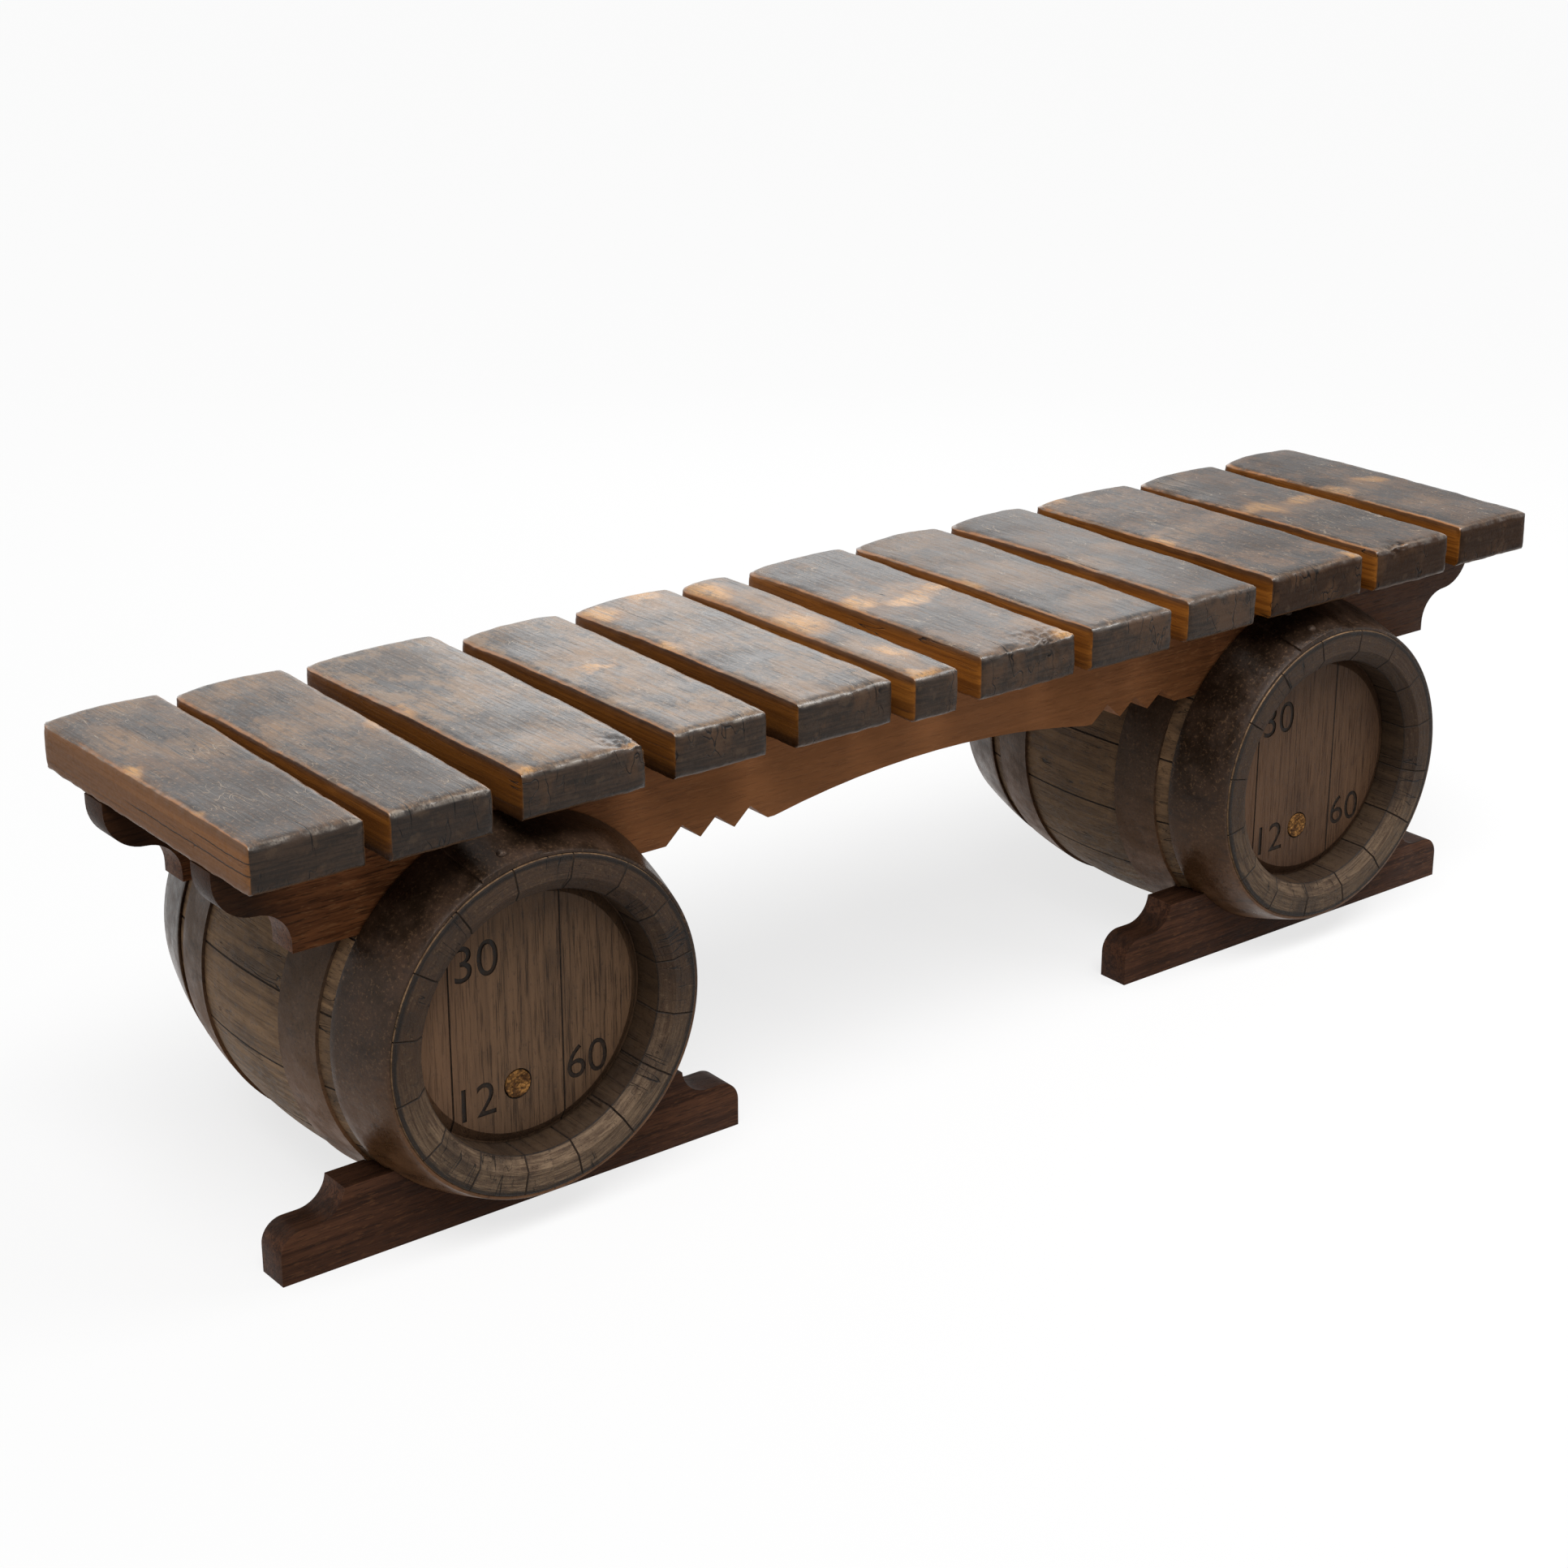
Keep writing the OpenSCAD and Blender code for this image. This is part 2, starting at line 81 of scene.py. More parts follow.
class BenchSizes(bpy.types.PropertyGroup):
    slat_grid: size_setting(
        "Slat grid", "Spacing of the mesh that carries a slat's wear", 0.0024, 0.001)
    slat_hollow: size_setting("Slat hollow", "Depth of the slow waves worn into a slat", 0.0026)
    slat_chip: size_setting("Slat chips", "Depth of the chips along a slat's edges", 0.0022)
    rail_ease: size_setting("Rail easing", "Width of the softened edges of the rails", 0.0022)
    foot_ease: size_setting("Foot easing", "Width of the softened edges of feet and chocks", 0.003)
    stave_ease: size_setting("Stave easing", "Width of the softened edges between staves", 0.0009)
    numeral_depth: size_setting(
        "Numeral depth", "Depth of the numbers pressed into the heads", 0.0011)
    camera_lens: bpy.props.FloatProperty(
        name="Lens", description="Focal length of the camera in millimetres", default=68.03, min=1)


class BenchColours(bpy.types.PropertyGroup):
    soot: colour_setting("Soot", "Darkest wood of the slats", 46, 39, 36)
    brown: colour_setting("Old brown", "Common tone of the slats' tops", 102, 80, 64)
    tan: colour_setting("Rubbed tan", "Half-worn wood on the slats' tops", 158, 124, 92)
    gold: colour_setting("Bare oak", "Wood bared by wear", 218, 164, 100)
    flank: colour_setting("Slat flank", "Oiled oak of the sawn sides", 170, 106, 40)
    rail: colour_setting("Rail oak", "Red-brown oak of the rails", 146, 92, 56)
    foot: colour_setting("Foot oak", "Dark red-brown oak of the feet", 92, 60, 43)
    stave: colour_setting("Stave oak", "Grey-brown old oak of the barrels", 168, 134, 100)
    head: colour_setting("Head oak", "Warm brown oak of the barrel heads", 128, 98, 73)
    iron: colour_setting("Hoop iron", "Dark oiled iron of the hoops", 76, 57, 43)
    floor: colour_setting("Floor", "Pale studio floor", 252, 252, 252)


def length(name):
    """Reads one of the bench's sizes."""
    return getattr(bpy.context.scene.bench_sizes, name)


def tint(name):
    """Reads one of the bench's colours."""
    return tuple(getattr(bpy.context.scene.bench_colours, name))


# Shader sums

class Val:
    """A number, colour or vector on its way through a material."""

    def __init__(self, shade, out):
        self.shade, self.out = shade, out

    def __add__(self, other):
        return self.shade.maths("ADD", self, other)

    def __radd__(self, other):
        return self.shade.maths("ADD", other, self)

    def __sub__(self, other):
        return self.shade.maths("SUBTRACT", self, other)

    def __rsub__(self, other):
        return self.shade.maths("SUBTRACT", other, self)

    def __mul__(self, other):
        return self.shade.maths("MULTIPLY", self, other)

    def __rmul__(self, other):
        return self.shade.maths("MULTIPLY", other, self)

    def __truediv__(self, other):
        return self.shade.maths("DIVIDE", self, other)

    def __abs__(self):
        return self.shade.maths("ABSOLUTE", self)


class Shade:
    """One material or world and the few ways in which its nodes are added."""

    def __init__(self, name, kind="Material"):
        self.kind = kind
        self.owner = (bpy.data.worlds if kind == "World" else bpy.data.materials).new(name)
        self.owner.use_nodes = True
        self.tree = self.owner.node_tree
        self.tree.nodes.clear()
        if kind == "Material":
            self.place = self.node("TexCoord", out="Object")
            self.facing = self.node("NewGeometry", out="Normal")

    def node(self, kind, settings=None, sockets=None, out=0):
        """Adds a node: its settings first, then its sockets' values and links."""
        made = self.tree.nodes.new("ShaderNode" + kind)
        for key, value in (settings or {}).items():
            setattr(made, key, value)
        for key, value in (sockets or {}).items():
            if isinstance(value, Val):
                self.tree.links.new(value.out, made.inputs[key])
            else:
                made.inputs[key].default_value = value
        return Val(self, made.outputs[out])

    def maths(self, operation, *values):
        return self.node("Math", {"operation": operation}, dict(enumerate(values)))

    def top(self, a, b):
        return self.maths("MAXIMUM", a, b)

    def parts(self, vector):
        """Gives the x, y and z of a vector."""
        made = self.node("SeparateXYZ", None, {0: vector}).out.node
        return [Val(self, out) for out in made.outputs]

    def joined(self, x, y, z):
        return self.node("CombineXYZ", None, {0: x, 1: y, 2: z})

    def scaled(self, vector, scale, shift, turn):
        return self.node("Mapping", {"vector_type": "POINT"},
                         {"Vector": vector, "Location": shift, "Rotation": turn, "Scale": scale})

    def noise(self, vector, scale, detail, rough, warp=0.0):
        return self.node("TexNoise", {"noise_dimensions": "3D"},
                         {"Vector": vector, "Scale": scale, "Detail": detail,
                          "Roughness": rough, "Distortion": warp})

    def grain(self, vector, scale, shift, detail, rough=0.55, warp=0.0, turn=(0, 0, 0)):
        """Gives noise with its own scale along each axis, moved by a shift."""
        return self.noise(self.scaled(vector, scale, shift, turn), 1.0, detail, rough, warp)

    def spread(self, value, start, end, low=0.0, high=1.0):
        """Turns the range start to end of a value into low to high, smoothly and held there."""
        return self.node("MapRange", {"interpolation_type": "SMOOTHSTEP", "clamp": True},
                         {"Value": value, "From Min": start, "From Max": end,
                          "To Min": low, "To Max": high})

    def line(self, value, middle, width):
        """Gives 1 where a value passes its middle and 0 from one width away."""
        return self.spread(abs(value - middle), 0.0, width, 1.0, 0.0)

    def mix(self, share, a, b):
        """Mixes two colours, b coming in with the share."""
        return self.node("Mix", {"data_type": "RGBA", "blend_type": "MIX", "clamp_factor": True},
                         {0: share, 6: a, 7: b}, out=2)

    def layered(self, colour, *layers):
        """Lays tones over a colour: each where a value goes from start to end, by its share."""
        for value, start, end, share, tone in layers:
            colour = self.mix(self.spread(value, start, end) * share, colour, tone)
        return colour

    def far(self, across, up):
        """Gives the distance from an axis for the two distances across it."""
        return self.maths("SQRT", across * across + up * up)

    def patch(self, plan, across, along, wide, deep):
        """Gives a spot on a plan of two shares, 1 in its middle and 0 past its reach."""
        off = self.node("VectorMath", {"operation": "SUBTRACT"}, {0: plan, 1: (across, along, 0)})
        near = self.node("VectorMath", {"operation": "MULTIPLY"},
                         {0: off, 1: (1 / wide, 1 / deep, 0)})
        far = self.node("VectorMath", {"operation": "LENGTH"}, {0: near}, out="Value")
        return self.spread(far, 1.35, 0.15)

    def worn(self, name):
        return self.node("Attribute", {"attribute_type": "GEOMETRY", "attribute_name": name},
                         out="Fac")

    def finish(self, colour, rough, height, depth=0.001, metal=0.0, coat=0.0, coat_rough=0.3,
               level=0.2):
        """Ends the material in one surface shader with its bump."""
        bump = self.node("Bump", None, {"Strength": 1.0, "Distance": depth, "Height": height})
        body = self.node("BsdfPrincipled", None,
                         {"Base Color": colour, "Roughness": rough, "Metallic": metal,
                          "Normal": bump, "Coat Weight": coat, "Coat Roughness": coat_rough,
                          "Specular IOR Level": level})
        self.node_end(body)
        return self.owner

    def node_end(self, surface):
        end = self.tree.nodes.new(f"ShaderNodeOutput{self.kind}")
        self.tree.links.new(surface.out, end.inputs["Surface"])


# Mesh work

# Points closer than this are one, and faces that turn less than this many degrees are flat.
WELD, FLAT = 0.00001, 0.6
# How many steps a share is kept in, the turn in radians a metre that counts as a full edge, and
# how often the shares of edges are evened out with their neighbours'.
SHARE_STEPS, SHARP_TURN, EVENING = 500, 120, 3


def alone(obj):
    """Leaves one object selected and active, in object mode."""
    if bpy.context.object and bpy.context.object.mode != "OBJECT":
        bpy.ops.object.mode_set(mode="OBJECT")
    bpy.ops.object.select_all(action="DESELECT")
    obj.select_set(True)
    bpy.context.view_layer.objects.active = obj


def settle(obj):
    """Puts an object's place, turn and scale into its mesh."""
    alone(obj)
    bpy.ops.object.transform_apply(location=True, rotation=True, scale=True)


def welded(obj, flat=0):
    """Joins doubled points, turns the faces outward and melts faces that turn less than flat."""
    alone(obj)
    bpy.ops.object.mode_set(mode="EDIT")
    bpy.ops.mesh.select_all(action="SELECT")
    bpy.ops.mesh.remove_doubles(threshold=WELD)
    bpy.ops.mesh.normals_make_consistent(inside=False)
    if flat:
        bpy.ops.mesh.dissolve_limited(angle_limit=math.radians(flat))
    bpy.ops.object.mode_set(mode="OBJECT")


def merged_copy(node, name, *materials):
    """Copies a CAD node under a new name, welds its loose triangles and gives it its materials."""
    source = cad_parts[node]
    obj = source.copy()
    obj.data = source.data.copy()
    obj.name = obj.data.name = name
    bpy.context.scene.collection.objects.link(obj)
    obj.parent = None
    obj.matrix_world = source.matrix_world
    settle(obj)
    obj.data.materials.clear()
    for material in materials:
        obj.data.materials.append(material)
    if obj.data.has_custom_normals:
        bpy.ops.mesh.customdata_custom_splitnormals_clear()
    welded(obj, FLAT)
    return obj


def applied(obj, kind, **settings):
    """Adds a modifier with its settings and applies it."""
    alone(obj)
    made = obj.modifiers.new(kind.lower(), kind)
    for key, value in settings.items():
        setattr(made, key, value)
    bpy.ops.object.modifier_apply(modifier=made.name)


def eased(obj, width, steps, sharp, strip=-1, held=True):
    """Rounds the sharp edges of a piece and can give their strips a material by its index."""
    applied(obj, "BEVEL", width=width, segments=steps, limit_method="ANGLE",
            angle_limit=math.radians(sharp), use_clamp_overlap=held, material=strip,
            harden_normals=False)


def smoothed(obj, angle):
    alone(obj)
    bpy.ops.object.shade_smooth_by_angle(angle=math.radians(angle))


def dressed(obj, node):
    """Gives a finished piece its body and lets it stand for its node."""
    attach(obj, "root")
    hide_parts(node)


def clouds(name, size, depth):
    texture = bpy.data.textures.new(name, "CLOUDS")
    texture.noise_scale, texture.noise_depth, texture.noise_basis = size, depth, "BLENDER_ORIGINAL"
    return texture


def points_of(mesh):
    flat = np.empty(len(mesh.vertices) * 3)
    mesh.vertices.foreach_get("co", flat)
    return flat.reshape(-1, 3)


def edges_of(mesh):
    """Gives the first and the second vertex of every edge."""
    ends = np.empty(len(mesh.edges) * 2, dtype=int)
    mesh.edges.foreach_get("vertices", ends)
    return ends.reshape(-1, 2).T


def keep_share(mesh, name, values):
    """Stores one share for each vertex under a name that a material can read."""
    layer = mesh.attributes.new(name, "FLOAT", "POINT")
    layer.data.foreach_set("value", np.asarray(values, dtype=np.float32))


def edge_shares(mesh):
    """Works out how near each vertex is to an outer edge, from how fast the surface turns."""
    place = points_of(mesh)
    normal = np.empty(len(mesh.vertices) * 3)
    mesh.vertices.foreach_get("normal", normal)
    normal = normal.reshape(-1, 3)
    a, b = edges_of(mesh)
    way = place[b] - place[a]
    turn = ((normal[b] - normal[a]) * way).sum(1) / np.maximum((way ** 2).sum(1), 1e-12)
    total = np.bincount(a, turn, len(place)) + np.bincount(b, turn, len(place))
    count = np.bincount(a, None, len(place)) + np.bincount(b, None, len(place))
    share = total / np.maximum(count, 1)
    for _ in range(EVENING):
        total = np.bincount(a, share[b], len(place)) + np.bincount(b, share[a], len(place))
        share = total / np.maximum(count, 1)
    return np.clip(share / SHARP_TURN, 0, 1)


def keep_board_tones(mesh, seed):
    """Stores for every separate board of a mesh a tone of its own, the same on each run."""
    a, b = edges_of(mesh)
    label = np.arange(len(mesh.vertices))
    while True:
        least = label.copy()
        np.minimum.at(least, a, label[b])
        np.minimum.at(least, b, label[a])
        least = least[least]
        if (least == label).all():
            break
        label = least
    pick = random.Random(seed)
    tones = {key: pick.random() for key in sorted(set(label.tolist()))}
    layer = mesh.attributes.new("tone", "FLOAT", "FACE")
    layer.data.foreach_set("value", [tones[label[face.vertices[0]]] for face in mesh.polygons])


# Slats

# Each slat's spots in per cent of its top: across from the left, along from the front, reach
# across, reach along.
WEAR = {
    1: {"tan": [(75, 62, 50, 13), (72, 100, 35, 10), (30, 75, 30, 20)],
        "gold": [(3, 56, 10, 5), (0, 25, 7, 6)],
        "soot": [(45, 22, 90, 36), (10, 86, 25, 10)]},
    2: {"tan": [(86, 62, 35, 14), (30, 60, 30, 10), (50, 95, 60, 8)],
        "gold": [(100, 50, 13, 6)],
        "soot": [(50, 20, 90, 33), (30, 78, 40, 10)]},
    3: {"tan": [(72, 52, 35, 9), (17, 52, 20, 5), (60, 12, 40, 16)],
        "gold": [(0, 53, 12, 5), (3, 2, 12, 4), (93, 3, 10, 3)],
        "soot": [(40, 33, 60, 12), (50, 85, 60, 13)]},
    4: {"tan": [(60, 66, 50, 16), (58, 38, 50, 16), (50, 10, 50, 8)],
        "gold": [(45, 53, 30, 3)],
        "soot": [(10, 37, 25, 10), (50, 86, 50, 8)]},
    5: {"tan": [(60, 90, 50, 14), (38, 53, 40, 7), (20, 10, 40, 10)],
        "gold": [(15, 93, 25, 10), (68, 95, 22, 6), (0, 55, 16, 7)],
        "soot": [(26, 76, 34, 7), (10, 37, 50, 9), (75, 62, 30, 10)]},
    6: {"tan": [(50, 70, 70, 30), (50, 20, 60, 20)],
        "gold": [(30, 90, 40, 11), (40, 52, 50, 12), (60, 20, 30, 8), (20, 2, 50, 5)],
        "soot": [(25, 35, 35, 7), (75, 75, 30, 6)]},
    7: {"tan": [(60, 56, 60, 9), (85, 12, 20, 10)],
        "gold": [(12, 53, 20, 7), (50, 48, 30, 5.5), (90, 50, 25, 4.5), (92, 2, 12, 5)],
        "soot": [(20, 78, 50, 15), (35, 30, 50, 12), (80, 72, 40, 12)]},
    8: {"tan": [(55, 50, 60, 20), (50, 90, 50, 10), (60, 20, 40, 10)],
        "gold": [(5, 50, 10, 8)],
        "soot": [(20, 30, 30, 12)]},
    9: {"tan": [(23, 42, 30, 10), (70, 50, 30, 8)],
        "gold": [(3, 48, 8, 5)],
        "soot": [(40, 85, 70, 20), (60, 20, 70, 20)]},
    10: {"tan": [(40, 50, 50, 9), (94, 52, 20, 7), (20, 93, 30, 9)],
         "gold": [(3, 45, 14, 7), (12, 97, 20, 5), (95, 3, 12, 6)],
         "soot": [(20, 70, 40, 10), (60, 25, 70, 16)]},
    11: {"tan": [(50, 50, 70, 10), (30, 93, 40, 6)],
         "gold": [(20, 50, 30, 8), (75, 50, 30, 6)],
         "soot": [(30, 74, 50, 12), (50, 27, 80, 16)]},
    12: {"tan": [(40, 50, 60, 9), (43, 26, 40, 10)],
         "gold": [(10, 52, 16, 8), (60, 52, 25, 5)],
         "soot": [(60, 80, 70, 16), (85, 30, 30, 20)]},
}
# How much wider than its solid each slat is on its right, at the front and at the back, and how
# much longer it is at the back, in metres. All but the last widen toward the back.
FLARE = ((0.007, 0.02, 0.02), (0.001, 0.018, 0.014), (0.001, 0.018, 0.012), (0.001, 0.016, 0.0),
         (0.002, 0.01, 0.006), (0.001, 0.012, 0.0), (0.002, 0.008, 0.0), (0.003, 0.014, 0.0),
         (0.002, 0.012, 0.0), (0.002, 0.007, 0.0), (0.002, 0.012, 0.0), (0.0, 0.0, 0.0))
# How far each slat's common tone goes from brown to a pale grey-brown.
PALE = (0.1, 0.35, 0.85, 0.9, 0.6, 0.6, 0.2, 0.3, 0.1, 0.05, 0.0, 0.0)
# How much each slat's top shines.
SHEEN = (0.68, 0.75, 0.9, 0.84, 0.86, 0.72, 0.62, 0.53, 0.46, 0.4, 0.36, 0.34)
# Broken knots: slat, across and along on its top, and how far around they reach in metres.
KNOTS = {3: [(0.9, 0.03, 0.02)], 7: [(0.72, 0.02, 0.026), (0.3, 0.0, 0.012)], 11: [(0.3, 0.0, 0.014)]}
# Long cracks: slat, across, front end, back end, on the shares of the top.
CRACKS = {1: [(0.55, 0.0, 0.16)], 2: [(0.2, 0.0, 0.2), (0.62, 0.0, 0.1)], 4: [(0.72, 0.0, 0.12)],
          5: [(0.8, 0.0, 0.46)], 7: [(0.3, 0.0, 0.14)], 10: [(0.45, 0.0, 0.12)]}
# Slats with darker tops, with flanks in painted shade, and on the dull right of the bench.
DARK_TOPS, SHADED_FLANKS, DULL = (8, 9, 11, 12), (2, 3, 4, 5), (10, 11, 12)
# How strongly each slat's front edge gets a painted highlight.
PAINTED_GLEAM = (0.4,) * 5 + (0.12,) * 7
# Scratches: turn about the vertical, scale along each axis, and the level that they follow.
SCRATCHES = ((0.5, (55, 9, 30), 0.5), (-0.35, (60, 12, 30), 0.47), (1.2, (70, 14, 30), 0.53),
             (0.1, (95, 7, 30), 0.51))
# How far the back corners of a top are lowered, and the share of it on the right.
CROWN_DROP, CROWN_RIGHT = 0.006, 0.4
# How much stronger chips are than the edge share, how far above a slat's underside its hollows
# start and over what height they grow, and how deep a knot is broken.
CHIP_GAIN, HOLLOW_FLOOR, HOLLOW_RISE, KNOT_DEPTH = 1.6, 0.004, 0.02, 0.009
# Size in metres and depth of the clouds that shape hollows, chips and knots.
SLOW, FAST, CRUMBLED = (0.075, 1), (0.019, 2), (0.007, 2)


def slat_oak(number, node):
    """Oak of one slat: sooty worn top, golden sawn flanks and dark end grain."""
    soot, brown, tan, gold, flank = map(tint, ("soot", "brown", "tan", "gold", "flank"))
    low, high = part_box(node)
    size = high - low
    s = Shade(f"oak_{node}")
    move = (number * 3.7, number * 1.9, number * 0.83)
    x, y, z = s.parts(s.place)
    across, along = (x - low.x) / size.x, (y - low.y) / size.y

    # The kinds of grain that every face shares
    fibre = s.grain(s.place, (620, 16, 620), move, 2.0, 0.6)
    streak = s.grain(s.place, (150, 5, 150), move, 3.0, 0.6)
    cloud = s.grain(s.place, (24, 13, 24), move, 4.0, 0.6)
    grit = s.grain(s.place, (260, 200, 260), move, 4.0, 0.7)
    mottle = s.grain(s.place, (70, 48, 70), move, 5.0, 0.7)
    plan = s.joined(across + (cloud - 0.5) * 0.45, along + (cloud - 0.5) * 0.22, 0.0)
    torn = (streak - 0.5) * 0.9 + (mottle - 0.5) * 0.7 + (fibre - 0.5) * 0.3

    # The worn top, with its spots, scratches and rubbed edges
    base = s.mix(PALE[number - 1], brown, paint(144, 118, 93))
    top = s.mix(s.spread(cloud + (mottle - 0.5) * 0.8, 0.38, 0.64), base, soot)
    dull = number in DULL
    for tone, colour, amount in (("soot", soot, 0.8), ("tan", tan, 0.35 if dull else 0.55),
                                 ("gold", gold, 0.6 if dull else 0.85)):
        for row in WEAR[number][tone]:
            spot = s.patch(plan, *(share / 100 for share in row))
            if tone == "gold":
                halo = s.spread(spot + torn * 0.6, 0.1, 0.55)
                top = s.mix(halo * 0.65, top, paint(158, 114, 70))
                spot = spot + (fibre - 0.5) * 0.7
            top = s.mix(s.spread(spot + torn, 0.32, 0.95) * amount, top, colour)
    top = s.layered(
        top,
        (mottle, 0.48, 0.64, 0.55, paint(50, 40, 34)),
        (mottle, 0.44, 0.32, 0.12, tan),
        (streak, 0.52, 0.68, 0.4, paint(48, 38, 31)),
        (fibre, 0.5, 0.68, 0.7, paint(26, 20, 16)),
        (grit, 0.56, 0.66, 0.4, paint(168, 134, 102)),
        (grit, 0.42, 0.3, 0.6, paint(30, 23, 19)))
    if number in DARK_TOPS:
        top = s.mix(0.3, top, paint(38, 29, 23))
    scratch = 0.0
    for turn, scale, level in SCRATCHES:
        lines = s.grain(s.place, scale, move, 1.0, 0.4, turn=(0, 0, turn))
        scratch = s.top(scratch, s.line(lines, level, 0.005))
    sparse = s.spread(s.grain(s.place, (26, 26, 26), move, 3.0), 0.48, 0.6)
    scratch = scratch * sparse
    top = s.mix(scratch * 0.55, top, paint(186, 164, 140))
    edge = s.worn("edge")
    nx, ny, nz = s.parts(s.facing)
    rub = s.spread(edge + torn * 0.5, 0.25, 0.6)
    top = s.mix(rub * s.spread(cloud, 0.42, 0.6) * 0.5, top, tan)
    long_edge = s.spread(edge + torn * 0.3, 0.15, 0.5) * s.spread(abs(nx), 0.15, 0.5)
    top = s.mix(long_edge * s.spread(streak + mottle, 0.85, 1.1) * 0.8, top, paint(176, 116, 62))

    # The sawn flanks
    rings = s.grain(s.place, (210, 2.2, 210), move, 2.0, 0.5)
    deep = s.mix(0.55, flank, paint(86, 44, 12))
    side = s.mix(s.spread(rings, 0.36, 0.64), flank, deep)
    side = s.mix(s.spread(fibre, 0.52, 0.78) * 0.55, side, paint(64, 36, 18))
    under = s.spread(z + (streak - 0.5) * 0.008, high.z - 0.012, high.z - 0.003)
    side = s.mix(under * 0.8, side, soot)
    # Painted shade: the flanks darken toward their bottoms and toward the back, where the gaps are
    # shaded, most of all on slats 2 to 5 over the barrel.
    painted_gap_shade = s.spread(z + (cloud - 0.5) * 0.03, high.z - 0.018, low.z)
    if number in SHADED_FLANKS:
        side = s.mix(0.45, side, paint(34, 15, 4))
        side = s.mix(painted_gap_shade * 0.92, side, paint(24, 10, 2))
    else:
        side = s.mix(painted_gap_shade * 0.35, side, paint(52, 26, 8))
    side = s.mix(s.spread(along, 0.35, 1.0) * 0.45, side, paint(66, 36, 14))
    if number == 1:
        # The bench's left side is paler.
        side = s.mix(0.55, side, paint(126, 92, 66))

    # The end grain
    saw = s.grain(s.place, (90, 30, 90), move, 2.0, 0.4, turn=(0, 0.5, 0))
    slope = 0.35 + 0.12 * (number * 5 % 7)
    ring_lines = s.grain(s.place, (24, 3, 330), move, 3.0, 0.6, 0.5, (0, slope, 0))
    end = s.mix(s.spread(ring_lines, 0.36, 0.66), paint(64, 50, 40), paint(38, 30, 24))
    end = s.mix(s.spread(grit, 0.5, 0.7) * 0.4, end, paint(24, 18, 14))
    if dull:
        end = s.mix(0.6, end, paint(48, 28, 13))
    if number == 2:
        end = s.mix(0.35, end, paint(24, 22, 22))
    end = s.mix(s.spread(cloud, 0.5, 0.66) * (0.3 if number == 2 else 0.6), end, paint(92, 68, 50))
    end = s.mix(s.spread(saw, 0.6, 0.72) * 0.3, end, paint(96, 78, 62))
    end_crack = s.line(s.grain(s.place, (46, 3, 22), move, 2.0, 0.5), 0.5, 0.012)
    end_crack = end_crack * s.spread(cloud, 0.46, 0.56)
    end = s.mix(end_crack, end, paint(10, 8, 7))

    # Which of them each face shows
    is_end = s.spread(abs(ny), 0.45, 0.8)
    is_side = s.spread(abs(nx) + (streak - 0.5) * 0.25, 0.62, 0.82)
    is_under = s.spread(nz, -0.5, -0.8)
    colour = s.mix(is_side, top, side)
    colour = s.mix(is_end, colour, end)
    colour = s.mix(is_under, colour, paint(96, 68, 44))

    # Cracks and the painted highlight on the front edges
    crack = s.line(s.grain(s.place, (34, 1.3, 34), move, 3.0, 0.5), 0.5, 0.0035)
    crack = crack * s.spread(cloud, 0.5, 0.6)
    wander = (s.grain(s.place, (4, 30, 4), move, 3.0, 0.6) - 0.5) * 0.1
    for at, front, back in CRACKS.get(number, ()):
        ends_in = s.spread(along, back, back - 0.1) * s.spread(along, front - 0.06, front - 0.02)
        above = 1 - is_end * s.spread(z, high.z - 0.01, high.z - 0.026)
        crack = s.top(crack, s.line(across + wander, at, 0.008) * ends_in * above)
    if number == 1:
        low_split = s.line(z + wander * 0.04, low.z + 0.019, 0.0009) * s.spread(along, 0.62, 0.5)
        high_split = s.line(z + wander * 0.05, low.z + 0.03, 0.0008) * s.spread(along, 0.3, 0.2)
        crack = s.top(crack, s.top(low_split, high_split) * is_side)
    colour = s.mix(crack, colour, paint(14, 11, 9))
    # Painted highlight: a pale glint painted in patches along the front-top edge.
    painted_highlight_edge = s.spread(edge, 0.3, 0.56) * s.spread(ny, -0.25, -0.5) * s.spread(nz, 0.35, 0.6)
    painted_gleam = painted_highlight_edge * s.spread(mottle + (grit - 0.5) * 0.5, 0.44, 0.62)
    colour = s.mix(painted_gleam * PAINTED_GLEAM[number - 1], colour, paint(196, 182, 166))

    rough = s.spread(grit, 0.3, 0.7, 0.32, 0.48) + s.spread(fibre, 0.5, 0.8) * 0.1
    rough = rough + is_side * 0.18 + is_end * 0.1 - s.spread(edge, 0.3, 0.8) * 0.14
    height = fibre * 0.3 + streak * 0.5 + grit * 0.25 + mottle * 0.4 - crack * 1.6 - scratch * 0.2
    height = height - end_crack * is_end
    waxed = (1 - is_side) * (1 - is_end) * s.spread(nz, 0.0, 0.4)
    uneven = (cloud - 0.5) * 0.5 + (mottle - 0.5) * 0.5 + (grit - 0.5) * 0.8 + (fibre - 0.5) * 1.3
    sheen = SHEEN[number - 1]
    patchy = s.spread(uneven, -0.18, 0.18, 0.4 * sheen, 1.04 * sheen)
    shiny = s.spread(edge + (mottle - 0.5) * 0.8, 0.25, 0.6) * (1 - is_side) * s.spread(nz, 0.2, 0.5)
    return s.finish(colour, rough, height, 0.0008, coat=s.top(waxed * patchy, shiny * 0.8),
                    coat_rough=0.2, level=0.08 if dull else 0.2)


def weigh(obj, name, shares):
    """Gives an object a vertex group with one share for each vertex."""
    group = obj.vertex_groups.new(name=name)
    steps = np.rint(np.clip(shares, 0, 1) * SHARE_STEPS).astype(int)
    order = np.argsort(steps, kind="stable")
    levels, starts = np.unique(steps[order], return_index=True)
    for level, members in zip(levels.tolist(), np.split(order, starts[1:])):
        if level:
            group.add(members.tolist(), level / SHARE_STEPS, "REPLACE")


